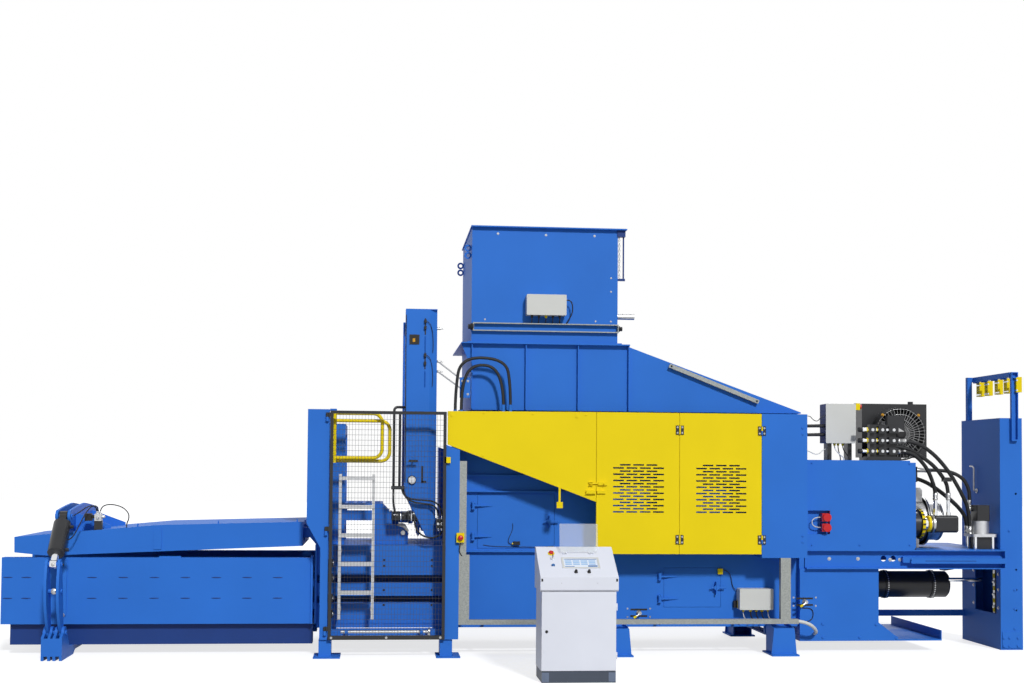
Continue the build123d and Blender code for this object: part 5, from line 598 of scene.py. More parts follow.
handle = Surface()
rod(handle, mast(-954, 2, 1909), mast(-954, 70, 1909), 9)
rod(handle, mast(-1000, 70, 1909), mast(-908, 70, 1909), 12)
turned(handle, mast(-962, 0, 1722), FRONT, [(0, 44), (16, 44), (20, 40), (20, 34)], 24)
block(handle, mast(-870, 4, 1693), mast(-852, -2, 1861))
block(handle, mast(-870, 4, 1693), mast(-820, -2, 1715))
piece("mast_handle", handle, BLACK_PLASTIC)
piece("mast_dial", turned(Surface(), mast(-962, 18, 1722), FRONT, [(0, 36), (3, 36)], 24), WHITE)

# %% [markdown]
# ## Emergency stop at the guard
# A yellow box with a red mushroom hangs at the guard's corner. The mushroom is one
# turned shape, from its stem to its domed cap.

# %% Mushroom in a yellow box
piece("stop_box", block(Surface(), (-528, -992, 1118), (-452, -950, 1210)), YELLOW)
MUSHROOM = [(0, 14), (12, 14), (14, 26), (24, 26), (31, 18), (33, 4)]
piece("stop_mushrooms", turned(Surface(), (-490, -990, 1164), FRONT, MUSHROOM, 20), RED)

# %% [markdown]
# ## Console desk
# The desk slopes, so its pieces are placed by how far they lie up the slope and how
# far they stand out of it. A screen with plain colour fields, a key switch and two
# knobs sit on it. The fields are generic and hold no lettering.

# %% Places on the sloping desk
DESK_FRONT = np.array([-2635.0, 907.0])
DESK_RISE, DESK_RUN = 240, 395
TILT = np.arctan2(DESK_RISE, DESK_RUN)
UP_SLOPE = np.array([0, np.cos(TILT), np.sin(TILT)])
OUT = np.array([0, -np.sin(TILT), np.cos(TILT)])


def desk(x, along, out=0.0):
    """Machine point: the desk's front edge + along·(unit up the slope) + out·(unit square to it)."""
    return np.array([x, *DESK_FRONT]) + along * UP_SLOPE + out * OUT


def slab(surface, xs, alongs, outs):
    """A box that lies on the desk: the eight mixes of its limits across, up the slope and out of it."""
    return surface.put([desk(xs[i], alongs[j], outs[k]) for i, j, k in BOX_CORNERS], BOX_FACES)


# %% Screen with plain fields
GLASS_OUT, FIELD_OUT, FRAME_OUT = (1.6, 2.6), (2.7, 3.0), (4.0, 6.0)
lit_glass = finish_of("screen_lit", screen_colour(226, 234, 246), 0.2, spread=0.0, relief=0.0, coat=0.4)
piece("screen_glass", slab(Surface(), (331, 627), (150, 274), GLASS_OUT), lit_glass)
BARS = (((336, 622), (262, 270)), ((336, 420), (156, 164)), ((540, 622), (156, 176)))
bars = Surface()
for across, along in BARS:
    slab(bars, across, along, FIELD_OUT)
piece("screen_bars", bars, BUTTON_BLUE)
FIELD_X, FIELD_UP = 342 + 70 * np.arange(4), 184 + 25 * np.arange(3)
FIELD_WIDTH, FIELD_HEIGHT = 58, 17
pale_fields = Surface()
for x in FIELD_X:
    for along in FIELD_UP:
        slab(pale_fields, (x, x + FIELD_WIDTH), (along, along + FIELD_HEIGHT), FIELD_OUT)
piece("screen_fields", pale_fields, PALE_BLUE)
BEZEL = (
    ((313, 645), (130.5, 147)),
    ((313, 645), (277, 293.5)),
    ((313, 330), (147, 277)),
    ((628, 645), (147, 277)),
)
bezel = Surface()
for across, along in BEZEL:
    slab(bezel, across, along, FRAME_OUT)
piece("screen_frame", bezel, GREY)

# %% Collar, key switch and knobs
COLLAR = [(0, 30), (2, 30), (4, 27), (4, 20)]
piece("stop_collar", turned(Surface(), desk(233, 357, 3), OUT, COLLAR, 28), YELLOW)
piece("key_switch", turned(Surface(), desk(237, 270, 13.5), OUT, [(0, 14), (3, 14), (5, 12)], 24), CHROME)
key_grip = Surface()
slab(key_grip, (235.5, 238.5), (262, 278), (18, 42))
slab(key_grip, (234, 240), (258, 282), (34, 52))
piece("key_grip", key_grip, BLACK_PLASTIC)
knobs = Surface()
for x in (422, 537):
    turned(knobs, desk(x, 75, 1), OUT, [(0, 16), (4, 16), (4, 12.5), (24, 11.5), (26, 9)], 20)
    slab(knobs, (x - 2, x + 2), (63, 87), (24, 28))
piece("desk_knobs", knobs, BLACK_PLASTIC)
piece("start_frame", slab(Surface(), (218, 248), (160, 190), (3, 5)), CHROME)

# %% Lock, screws and corner fittings of the cabinet
cabinet_lock = turned(Surface(), seat(163, 440), FRONT, [(0, 13), (4, 13), (6, 10)], 20)
piece("cabinet_lock", cabinet_lock, BLACK_PLASTIC, body="cabinet_door")
SCREW_SINK = 4
lip_screws = screws(Surface(), seats([(289, 858), (603, 858)]) + (0, SCREW_SINK, 0), FRONT, 5, 4)
piece("lip_screws", lip_screws, STEEL)
notches = Surface()
for x in (112, 764):
    block(notches, (x, -2637, 872), (x + 16, -2634, 896))
piece("lip_notches", notches, BLACK_PLASTIC)
corners = Surface()
for x in (124, 706):
    block(corners, (x, -2616, 8), (x + 62, -2612, 88))
    for z in (30, 62):
        block(corners, (x + 16, -2618, z), (x + 46, -2615, z + 9))
piece("plinth_corners", corners, finish_of("plinth_corner", screen_colour(104, 116, 138), 0.5))

# %% [markdown]
# ## The fine mesh of the door
# The black door holds welded mesh: thin wires about 31 mm apart upright and 51 mm
# apart level, in two layers that touch. The solid has a coarse grid in its place,
# which this mesh replaces.

# %% Welded mesh
MESH_WIDTH = (-1732, -664)
MESH_HEIGHT = (217, 2362)
WIRE_Y = -968.5
WIRE_RADIUS = 1.4
FRONT_LAYER, REAR_LAYER = WIRE_Y - 1.3, WIRE_Y + 1.3
left, right = MESH_WIDTH
low, high = MESH_HEIGHT
grid = Surface()
for x in np.linspace(left, right, 36)[1:-1]:
    rod(grid, (x, FRONT_LAYER, low), (x, FRONT_LAYER, high), WIRE_RADIUS, 6)
for z in np.linspace(low, high, 43)[1:-1]:
    rod(grid, (left, REAR_LAYER, z), (right, REAR_LAYER, z), WIRE_RADIUS, 6)
fine_mesh = piece("door_mesh_wires", grid, WIRE, body="mesh_door_leaf")
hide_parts("door_mesh")

# %% [markdown]
# ## Black hinges of the yellow doors
# Each hinge is a pair of black plates with four bright bolts. One plate belongs to
# each side of the fold, so the halves ride on different bodies.

# %% Hinge plates
FOLDS = ((1688, "outer_guard_door", "inner_guard_door"), (2523, "inner_guard_door", "machine"))
HINGE_HEIGHTS = (2238, 1151)
PLATE_WIDTH, PLATE_HALF, PLATE_OUT = 40, 45, 9
BOLT_SIDE, BOLT_RISE = 24, 27
for number, (fold, left_body, right_body) in enumerate(FOLDS):
    for side, half, body in ((-1, "left", left_body), (1, "right", right_body)):
        plates = Surface()
        bolts = Surface()
        for z in HINGE_HEIGHTS:
            door = seat(fold + side * BOLT_SIDE, z - 70, -1500)[1]
            low = (fold + side, door - PLATE_OUT, z - PLATE_HALF)
            high = (fold + side * PLATE_WIDTH, door + 1, z + PLATE_HALF)
            block(plates, low, high)
            for up in (-BOLT_RISE, BOLT_RISE):
                screws(bolts, (fold + side * BOLT_SIDE, door - PLATE_OUT, z + up), FRONT, 7, 5)
        piece(f"hinge_plate_{number}_{half}", plates, BLACK, body=body)
        piece(f"hinge_bolts_{number}_{half}", bolts, STEEL, body=body)

# %% [markdown]
# ## Hopper fittings
# On the hopper front sit a switch box with cable glands, short cables down into the
# galvanised duct, and at the right a pull rod with a chain beside it. A cable enters
# a box from below through a screwed gland: it drops a little and bends away.

# %% A gland
def gland(surface, point, axis, radius=13):
    """A cable gland: a six-sided nut and a round cap, turned round the axis that the cable follows."""
    nut = 10
    cap = [(0, radius * 0.85), (nut, radius * 0.85), (nut + 6, radius * 0.55)]
    turned(surface, point, axis, [(0, radius), (nut, radius)], 6)
    return turned(surface, np.asarray(point) + nut * np.asarray(axis), axis, cap, 14)


# %% Hopper screws, glands and duct ends
panel_screws("hopper_screws", STEEL, (
    ([(-127, 4194), (358, 4191), (851, 4193)], 9, 7),
    ([(1022, 3770), (1022, 3632), (866, 3330), (1022, 3330), (-250, 3330)], 7, 5),
))
lid_corners = [(x, -870, z) for x in (174, 538) for z in (3389, 3561)]
piece("hopper_box_screws", screws(Surface(), lid_corners, FRONT, 6, 3), GREY)
GLAND_Y, GLAND_Z, GLAND_SIZE = -812, 3373, 15
HOPPER_GLANDS = (215, 285, 356, 425, 495)
MIDDLE_GLAND = HOPPER_GLANDS[2]
dark_glands = Surface()
for x in HOPPER_GLANDS:
    if x != MIDDLE_GLAND:
        gland(dark_glands, (x, GLAND_Y, GLAND_Z), DOWN, GLAND_SIZE)
piece("hopper_glands", dark_glands, BLACK_PLASTIC)
yellow_gland = gland(Surface(), (MIDDLE_GLAND, GLAND_Y, GLAND_Z), DOWN, GLAND_SIZE)
piece("hopper_gland_yellow", yellow_gland, YELLOW)
for number, x in enumerate(HOPPER_GLANDS):
    route = [(x, GLAND_Y, 3350), (x, GLAND_Y, 3335), (x, GLAND_Y + 12, 3312), (x, GLAND_Y + 40, 3290)]
    cable(f"hopper_cable_{number}", route, 11, BLACK_PLASTIC)
HOPPER_LOOP = [
    (553, -820, 3530), (600, -820, 3532), (625, -818, 3480), (622, -812, 3400), (590, -800, 3340),
    (560, -775, 3290),
]
cable("hopper_loop", HOPPER_LOOP, 12, BLACK_PLASTIC)
ends = Surface()
turned(ends, (-366, -768, 3254), LEFT, [(0, 34), (30, 34), (30, 24), (54, 24)], 20)
turned(ends, (1094, -768, 3254), RIGHT, [(0, 30), (14, 30), (14, 22), (40, 22)], 20)
piece("duct_ends", ends, BLACK_PLASTIC)

# %% [markdown]
# A chain is a row of ovals, each turned a quarter against the last. One oval is a
# circle whose two halves are moved apart, so that its ends stay round.

# %% A chain and the pull rod
def chain(surface, top, bottom, wire=3.0, pitch=26.0, half=8.0, stretch=0.22):
    """Links from top to bottom: the oval half·(cos a, sin a) + pitch·stretch·sign(sin a) upwards.

    Every other link is turned by 90°.
    """
    top, bottom = np.asarray(top, dtype=float), np.asarray(bottom, dtype=float)
    length = np.linalg.norm(bottom - top)
    angle = np.linspace(0, 2 * np.pi, 17)
    across = half * np.cos(angle)
    flat = np.zeros_like(across)
    up = half * np.sin(angle) + np.sign(np.round(np.sin(angle), 6)) * pitch * stretch
    for number in range(int(length / pitch)):
        centre = top + (bottom - top) * (number + 0.5) * pitch / length
        ring = np.stack([across, flat, up] if number % 2 else [flat, across, up], -1)
        tube(surface, centre + ring, wire, 8)
    return surface


PULL_Y = -730
pull = block(Surface(), (1082, -760, 4190), (1166, -700, 4256))
rod(pull, (1150, PULL_Y, 4192), (1150, PULL_Y, 3760), 8)
block(pull, (1085, -742, 3745), (1166, -718, 3768))
piece("pull_rod", pull, DEEP_BLUE)
piece("pull_chain", chain(Surface(), (1108, PULL_Y, 4192), (1108, PULL_Y, 3770)), STEEL)

# %% [markdown]
# ## Galvanised strip on the hood
# A strip lies along the hood's front edge and stands out from it, held by two screws
# at its ends. It is a box whose length follows the slope.

# %% Hood strip
HOOD_FACE = -750
STRIP_OUT, STRIP_HEIGHT, SCREW_INSET = 45, 40, 22
strip_ends = np.array([(1623, 2912), (2543, 2554)], dtype=float)
slope = (strip_ends[1] - strip_ends[0]) / np.linalg.norm(strip_ends[1] - strip_ends[0])
down_slope = np.array([slope[1], -slope[0]])


def on_hood(end, out, drop, inset=0.0):
    """Machine point: strip end + inset·(unit along it) + drop·(unit square to it), out from the face."""
    x, z = strip_ends[end] + inset * slope + drop * down_slope
    return np.array([x, HOOD_FACE - out, z])


outs, drops = (STRIP_OUT, 0), (STRIP_HEIGHT, 0)
strip = Surface().put([on_hood(i, outs[j], drops[k]) for i, j, k in BOX_CORNERS], BOX_FACES)
piece("hood_strip", strip, ZINC)
insets = (SCREW_INSET, -SCREW_INSET)
heads = [on_hood(end, STRIP_OUT, STRIP_HEIGHT / 2, inset) for end, inset in enumerate(insets)]
piece("hood_strip_screws", screws(Surface(), heads, FRONT, 8, 5), BLACK)

# %% [markdown]
# ## Valve block and hoses of the tension clamp
# A small bright block beside the yoke feeds the two clamp cylinders. Three thin
# hoses leave it in loops over the cover, and ride with the cover.

# %% Clamp valve block
def rest(x, y, start=6000):
    """Height where a ray straight down at (x, y) meets a solid."""
    hit, where, *_ = bpy.context.scene.ray_cast(depths, place((x, y, start)).tolist(), (0, 0, -1))
    return where.z * 1000 if hit else 0.0


COVER_Z = rest(-4010, -600)
VALVE_Y, VALVE_TOP = -600, 1368
bracket = block(Surface(), (-4050, -626, COVER_Z - 2), (-3975, -574, 1302))
piece("clamp_valve_bracket", bracket, BLACK, body="top_cover")
valve = block(Surface(), (-4046, -640, 1300), (-3982, -560, VALVE_TOP))
turned(valve, (-4046, VALVE_Y, 1340), LEFT, [(0, 17), (26, 17), (30, 13)], 16)
turned(valve, (-3982, VALVE_Y, 1340), RIGHT, [(0, 17), (26, 17), (30, 13)], 16)
for x, y in ((-4030, VALVE_Y), (-3998, VALVE_Y), (-4014, -628)):
    turned(valve, (x, y, VALVE_TOP - 2), UP, [(0, 11), (14, 11), (14, 8), (26, 8)], 12)
turned(valve, (-4014, -638, 1330), FRONT, [(0, 14), (18, 14), (24, 9)], 14)
piece("clamp_valve", valve, ALUMINIUM, body="top_cover")
coils = block(Surface(), (-4138, -650, 1300), (-4076, -575, 1372))
block(coils, (-4076, -618, 1322), (-4046, -582, 1356))
piece("clamp_coil", coils, BLACK_PLASTIC, body="top_cover")

# %% Clamp hoses
HOSE_REST = rest(-3770, -600)
CLAMP_HOSES = (
    [
        (-3998, -600, 1388), (-3990, -602, 1440), (-3905, -604, 1466), (-3790, -604, 1440),
        (-3726, -602, 1380), (-3722, -600, 1320), (-3745, -600, HOSE_REST + 40),
        (-3745, -600, HOSE_REST - 2),
    ],
    [
        (-4030, -600, 1388), (-4034, -602, 1428), (-4075, -606, 1452), (-4135, -612, 1430),
        (-4195, -630, 1380), (-4244, -640, 1350),
    ],
    [
        (-4014, -628, 1388), (-4014, -632, 1430), (-4040, -670, 1455), (-4090, -725, 1420),
        (-4140, -770, 1310), (-4190, -795, 1190), (-4235, -808, 1125), (-4290, -812, 1110),
    ],
)
for number, route in enumerate(CLAMP_HOSES):
    cable(f"clamp_hose_{number}", route, 11, RUBBER, body="top_cover")

# %% [markdown]
# ## Inside the mesh door
# Two hoses lead from a connector block on the right column to the foot of the bent
# tubes, and a black pipe goes on down to the twister's motor. A third hose joins the
# motor to the block. Bright rods hold the mast's sensors to a blue bracket, and black
# blocks line the left column.

# %% Twister motor
MOTOR_Y, MOTOR_Z = -692, 1359
MOTOR_CASE = [(0, 40), (8, 52), (92, 52), (96, 44), (150, 44), (150, 56), (190, 56), (196, 50), (262, 50)]
piece("twister_motor_case", turned(Surface(), (-1160, MOTOR_Y, MOTOR_Z), RIGHT, MOTOR_CASE, 28), BLACK)
rings = turned(Surface(), (-1072, MOTOR_Y, MOTOR_Z), RIGHT, [(0, 55), (12, 55), (14, 47)], 28)
turned(rings, (-968, MOTOR_Y, MOTOR_Z), RIGHT, [(0, 58), (10, 58)], 28)
for x in (-1130, -940):
    turned(rings, (x, -736, 1385), FRONT, [(0, 15), (22, 15), (22, 11), (34, 11)], 12)
piece("twister_motor_rings", rings, CHROME)

# %% Connector block and hoses
PORT_Y = -786
piece("connector_block", block(Surface(), (-722, -822, 1246), (-604, -748, 1342)), BLACK)
unions = Surface()
for x in (-702, -664, -626):
    turned(unions, (x, PORT_Y, 1340), UP, [(0, 14), (12, 14), (12, 10), (30, 10)], 12)
    turned(unions, (x, -820, 1292), FRONT, [(0, 15), (12, 15), (12, 11), (26, 11)], 12)
for x in (-696, -664):
    turned(unions, (x, PORT_Y, 1247), DOWN, [(0, 13), (12, 13), (12, 9), (24, 9)], 12)
piece("connector_unions", unions, CHROME)
CAGE_HOSES = (
    [
        (-702, -780, 1368), (-702, -788, 1430), (-760, -800, 1480), (-860, -810, 1490), (-960, -805, 1505),
        (-1040, -785, 1560), (-1045, -776, 1634),
    ],
    [
        (-664, -780, 1368), (-664, -790, 1450), (-745, -815, 1515), (-860, -828, 1525), (-970, -815, 1530),
        (-1050, -775, 1575), (-1060, -757, 1634),
    ],
    [
        (-664, -786, 1224), (-668, -790, 1185), (-745, -798, 1150), (-850, -800, 1165), (-920, -790, 1240),
        (-938, -772, 1330), (-940, -766, 1383),
    ],
)
for number, route in enumerate(CAGE_HOSES):
    cable(f"cage_hose_{number}", route, 18, RUBBER)
motor_pipe = rounded([(-1144, -800, 1632), (-1144, -800, 1500), (-1130, -780, 1420), (-1130, -766, 1386)])
piece("motor_pipe", tube(Surface(), motor_pipe, 11), BLACK)

# %% Sensor rods, roller blocks and rib screws
arms = rod(Surface(), (-722, -700, 2911), (-484, -812, 2719), 7)
rod(arms, (-722, -700, 2809), (-484, -812, 2628), 7)
piece("sensor_rods", arms, STEEL)
BRACKET_FRONT = -822
piece("sensor_bracket", block(Surface(), (-500, BRACKET_FRONT, 2540), (-395, -800, 2742)), BLUE)
bracket_bolts = [(x, BRACKET_FRONT, z) for x in (-475, -420) for z in (2575, 2705)]
piece("sensor_bracket_bolts", screws(Surface(), bracket_bolts, FRONT, 9, 7), STEEL)
blocks = Surface()
caps = Surface()
for z in (902, 757, 560, 407):
    block(blocks, (-1792, -800, z - 40), (-1724, -730, z + 40))
    turned(caps, (-1726, -765, z), RIGHT, [(0, 22), (8, 22), (12, 14)], 16)
piece("roller_blocks", blocks, BLACK)
piece("roller_caps", caps, STEEL)
rib_points = [(x, z) for x in (-1226, -752) for z in (926, 867, 629, 481)]
piece("rib_screws", screws(Surface(), seats(rib_points, -880), FRONT, 9, 7), BLACK)

# %% [markdown]
# ## Sensors on the chamber wall
# Position switches sit on the wall, with thin cables that follow the ribs. Yellow
# coded switches guard the yellow cover and the doors.

# %% Wall sensors
WALL = seat(700, 1250, -700)[1]


def wall(x, out, z):
    """Machine point at the chamber wall: out counts from the wall towards the operator."""
    return np.array([x, WALL - out, z])


switches = block(Surface(), wall(62, 42, 1078), wall(128, -1, 1112))
block(switches, wall(2316, 40, 448), wall(2352, -1, 516))
piece("wall_switches", switches, BLACK_PLASTIC)
tips = turned(Surface(), wall(64, 24, 1090), LEFT, [(0, 9), (16, 9)], 12)
block(tips, wall(2352, 52, 446), wall(2398, -1, 518))
block(tips, wall(2154, 32, 786), wall(2204, -1, 842))
block(tips, (-652, -984, 1892), (-593, -948, 1950))
block(tips, (455, -982, 1457), (515, -952, 1517))
block(tips, (474, -970, 1515), (494, -958, 1660))
piece("yellow_switches", tips, YELLOW)

# %% Thin cables on the wall
WALL_CABLES = {
    "wall_cable_rib": (6, [
        (56, 4, 1290), (60, 6, 1240), (34, 6, 1180), (8, 6, 1120), (20, 6, 1085), (50, 18, 1088),
    ]),
    "wall_cable_hatch": (6, [
        (-240, 3, 1075), (-160, 4, 1060), (100, 4, 1056), (360, 4, 1054), (470, 4, 1064),
    ]),
    "wall_cable_sensor": (7, [
        (2204, 14, 830), (2250, 14, 824), (2292, 12, 770), (2300, 10, 700), (2318, 10, 640),
        (2352, 18, 612),
    ]),
}
for name, (size, route) in WALL_CABLES.items():
    cable(name, [wall(*point) for point in route], size, BLACK_PLASTIC)

# %% [markdown]
# Two proximity sensors look through slotted plates low on the wall. Each is a bright
# threaded body between two slots, with a screw at every corner of its plate.

# %% Slotted sensor plates
slots, bodies, tails, corner_screws = Surface(), Surface(), Surface(), Surface()
for x, z in ((1345, 395), (3040, 512)):
    front = seat(x, z - 60, -760)[1]
    for up in (-33, 33):
        block(slots, (x - 86, front - 2, z + up - 9), (x + 86, front + 1, z + up + 9))
    turned(bodies, (x, front, z), FRONT, [(0, 26), (8, 26), (8, 15), (52, 15), (52, 19), (60, 19)], 18)
    rod(bodies, (x - 4, front - 50, z - 8), (x - 36, front - 56, z - 30), 11)
    rod(tails, (x - 34, front - 55, z - 29), (x - 62, front - 60, z - 46), 12)
    screws(corner_screws, [(x + a, front, z + b) for a in (-116, 116) for b in (-42, 42)], FRONT, 7, 6)
piece("sensor_slots", slots, BLACK_PLASTIC)
piece("sensor_bodies", bodies, STEEL)
piece("sensor_tips", tails, YELLOW)
piece("sensor_corner_screws", corner_screws, STEEL)
SENSOR_CABLE = [
    (2980, -680, 468), (3010, -700, 440), (3070, -705, 452), (3125, -705, 430), (3128, -705, 350),
    (3085, -706, 312), (3012, -704, 300),
]
cable("sensor_cable", SENSOR_CABLE, 9, BLACK_PLASTIC)

# %% Lower switch box: glands and cables into the duct
LOW_GLANDS = ((2405, 13), (2480, 19), (2540, 17), (2598, 19), (2660, 13))
low_glands = Surface()
for x, size in LOW_GLANDS:
    gland(low_glands, (x, -688, 435), DOWN, size)
piece("low_box_glands", low_glands, YELLOW)
lid_corners = [(x, -750, z) for x in (2372, 2682) for z in (452, 628)]
piece("low_box_screws", screws(Surface(), lid_corners, FRONT, 6, 3), GREY)
for number, (x, size) in enumerate(LOW_GLANDS):
    route = [(x, -688, 412), (x, -690, 385), (x + 4, -720, 350), (x + 6, -790, 338), (x + 6, -892, 334)]
    cable(f"low_box_cable_{number}", route, size * 0.7, GREY if size < 15 else BLACK_PLASTIC)
CONDUIT = [
    (2900, -920, 338), (2960, -918, 330), (3040, -900, 300), (3105, -850, 250), (3140, -770, 205),
    (3142, -698, 190),
]
cable("floor_conduit", CONDUIT, 36, GREY)
STOP_CABLE = [
    (-490, -972, 1119), (-492, -972, 1085), (-500, -965, 1040), (-488, -955, 1005), (-470, -948, 985),
]
cable("stop_cable", STOP_CABLE, 9, BLACK_PLASTIC)

# %% [markdown]
# ## Cables of the power unit
# Two black conduits cross from the chamber wall to the switch cabinet. Thin loops
# hang beside them, and four yellow glands under the cabinet take the rest. Lower
# down, a grey loop joins two red sockets.

# %% Cabinet conduits, loops and glands
for name, z in (("conduit_high", 2310), ("conduit_low", 2219)):
    route = [(2984, -560, z - 2), (3100, -545, z - 4), (3220, -520, z), (3316, -500, z)]
    cable(name, route, 36, BLACK)
LOOPS = (
    ("cabinet_loop_high", 8, BLACK, [
        (2986, -600, 2400), (3120, -600, 2420), (3160, -590, 2370), (3215, -575, 2350), (3255, -560, 2400),
        (3316, -540, 2420),
    ]),
    ("cabinet_loop_low", 9, GREY, [
        (2986, -610, 2080), (3110, -605, 2050), (3180, -590, 2012), (3240, -560, 2020), (3290, -520, 2060),
        (3348, -460, 2075),
    ]),
    ("socket_loop", 10, GREY, [
        (3200, -748, 1372), (3150, -752, 1372), (3106, -754, 1350), (3098, -754, 1320), (3106, -754, 1290),
        (3150, -752, 1268), (3200, -748, 1268),
    ]),
)
for name, size, material, route in LOOPS:
    cable(name, route, size, material)
CABINET_Y = -470
cabinet_glands = Surface()
for x in (3376, 3430, 3468, 3518):
    gland(cabinet_glands, (x, CABINET_Y, 2132), DOWN, GLAND_SIZE)
piece("cabinet_glands", cabinet_glands, YELLOW)
TANK_CABLES = ((3376, -520, 3350), (3430, -560, 3500), (3468, -540, 3470), (3518, -560, 3560))
for number, (x, y, foot) in enumerate(TANK_CABLES):
    middle = (x + foot) / 2
    start = [(x, CABINET_Y, 2108), (x, CABINET_Y - 2, 2075)]
    route = start + [(middle, y + 20, 2010), (foot, y, 1985), (foot, y, 1953)]
    cable(f"tank_cable_{number}", route, 11, WHITE if number == 1 else BLACK_PLASTIC)
sockets = Surface()
for z in (1372, 1268):
    block(sockets, (3196, -792, z - 40), (3250, -712, z + 40))
piece("socket_bodies", sockets, RED)

# %% [markdown]
# ## Cooler guard
# The fan runs behind a guard of thin radial wires and a few rings. The wires start
# under the hub plate, and a bright oil manifold covers the left side.

# %% Guard wires
FAN_X, FAN_Z, GUARD_Y = 4138, 2236, -478
GUARD_WIRE = 2.2
SPOKE_COUNT, HUB_RADIUS, GUARD_RADIUS = 44, 58, 274
centre = np.array([FAN_X, GUARD_Y, FAN_Z])
guard = Surface()
for angle in np.linspace(0, 2 * np.pi, SPOKE_COUNT, endpoint=False):
    spoke = np.array([np.cos(angle), 0, np.sin(angle)])
    rod(guard, centre + HUB_RADIUS * spoke, centre + GUARD_RADIUS * spoke, GUARD_WIRE, 6)
around = np.linspace(0, 2 * np.pi, 61)
for radius in (95, 150, 205, 262):
    level = np.full_like(around, GUARD_Y + 3.0)
    circle = np.stack([FAN_X + radius * np.cos(around), level, FAN_Z + radius * np.sin(around)], -1)
    tube(guard, circle, GUARD_WIRE, 6)
piece("fan_guard_wires", guard, STEEL)

# %% Guard lugs, oil manifold and knob
lugs = Surface()
for x, z in ((3945, 2433), (4331, 2433)):
    turned(lugs, (x, -472, z), FRONT, [(0, 16), (10, 16), (10, 9), (26, 9)], 8)
piece("fan_guard_lugs", lugs, AMBER)
shield = Surface()
block(shield, (3925, -520, 2178), (4028, -482, 2366))
turned(shield, (3990, -518, 2212), FRONT, [(0, 34), (26, 34), (34, 24)], 24)
turned(shield, (3965, -518, 2322), FRONT, [(0, 22), (20, 22)], 20)
piece("oil_manifold", shield, ALUMINIUM)
knob = Surface()
turned(knob, (3976, -518, 2270), FRONT, [(0, 20), (30, 20), (34, 26), (52, 26), (56, 18)], 20)
turned(knob, (FAN_X, -476, FAN_Z), FRONT, [(0, 62), (4, 60), (10, 30)], 24)
piece("manifold_knob", knob, BLACK_PLASTIC)

# %% [markdown]
# ## Cartridges and hoses of the pump
# Between the valve blocks run bright cartridges with yellow nuts. Four more hoses
# lead from the valves to the pump, the filter head and the deck, and end in swaged
# steel fittings.

# %% Cartridges
bright, nuts, dark = Surface(), Surface(), Surface()
COIL_Y, LINK_Y = -672, -680
for z in (2050, 2160, 2270):
    rod(bright, (3655, COIL_Y, z), (3722, COIL_Y, z), 21, 20)
    rod(bright, (3788, LINK_Y, z), (3822, LINK_Y, z), 17, 16)
    rod(bright, (3898, LINK_Y, z), (3932, LINK_Y, z), 17, 16)
    turned(nuts, (3700, COIL_Y, z), RIGHT, [(0, 26), (14, 26)], 6)
    turned(nuts, (3802, LINK_Y, z), RIGHT, [(0, 21), (10, 21)], 6)
    turned(dark, (3655, COIL_Y, z), LEFT, [(0, 25), (40, 25), (44, 18)], 18)
    for x in (3755, 3860, 3980):
        turned(bright, (x, -704, z), FRONT, [(0, 17), (8, 17), (8, 11), (16, 11)], 6)
piece("cartridges", bright, CHROME)
piece("cartridge_nuts", nuts, YELLOW)
piece("cartridge_coils", dark, BLACK_PLASTIC)

# %% Pump hoses
PUMP_HOSES = {
    "pump_hose_left": (40, [
        (4064, -630, 2050), (4160, -632, 2050), (4270, -628, 1990), (4380, -612, 1860), (4450, -575, 1720),
        (4489, -530, 1640), (4489, -530, 1570),
    ]),
    "pump_hose_right": (40, [
        (4018, -612, 2104), (4150, -610, 2092), (4309, -598, 2006), (4459, -580, 1903), (4560, -558, 1790),
        (4625, -535, 1690), (4629, -530, 1570),
    ]),
    "filter_hose": (38, [
        (4448, -390, 1860), (4540, -395, 1862), (4700, -408, 1850), (4840, -420, 1780), (4905, -410, 1665),
        (4915, -400, 1580), (4919, -400, 1518),
    ]),
    "deck_hose": (42, [
        (4328, -360, 1775), (4430, -360, 1752), (4580, -360, 1660), (4740, -360, 1540), (4860, -358, 1420),
        (4905, -356, 1320), (4905, -356, 1220),
    ]),
}
for name, (size, route) in PUMP_HOSES.items():
    cable(name, route, size, RUBBER)

# %% Swaged fittings at the hoses' ends
SWAGE = [(0, 20), (14, 26), (26, 26), (26, 21), (40, 24), (78, 24), (80, 20)]
swages = Surface()
for point in ((4489, -530, 1546), (4629, -530, 1546), (4905, -356, 1197)):
    turned(swages, point, UP, SWAGE, 18)
turned(swages, (4448, -390, 1860), RIGHT, [(-14, 26), (8, 26), (8, 21), (64, 21), (66, 17)], 18)
turned(swages, (4915, -400, 1474), UP, [(0, 19), (14, 23), (26, 23), (26, 19), (74, 20), (76, 17)], 18)
tube(swages, rounded([(4915, -400, 1480), (4915, -400, 1446), (4946, -400, 1446)]), 17, 16)
turned(swages, (4064, -630, 2050), RIGHT, [(-10, 24), (10, 24), (10, 19), (62, 20)], 18)
turned(swages, (4064, -624, 2160), RIGHT, [(-10, 26), (12, 26), (12, 22), (70, 23)], 18)
turned(swages, (4897, -450, 1197), UP, [(0, 26), (20, 26), (20, 22), (80, 23)], 18)
piece("hose_fittings", swages, STEEL)
piece("hose_clamp", block(Surface(), (4560, -596, 1742), (4640, -520, 1786)), BLACK)

# %% Motor rings and coupling
MOTOR_AXIS = (-90, 1318)
rings = turned(Surface(), (4500, *MOTOR_AXIS), RIGHT, [(0, 262), (22, 262), (22, 250), (30, 250)], 48)
turned(rings, (4668, *MOTOR_AXIS), RIGHT, [(0, 211), (12, 211), (20, 204)], 48)
piece("motor_flange_rings", rings, STEEL)


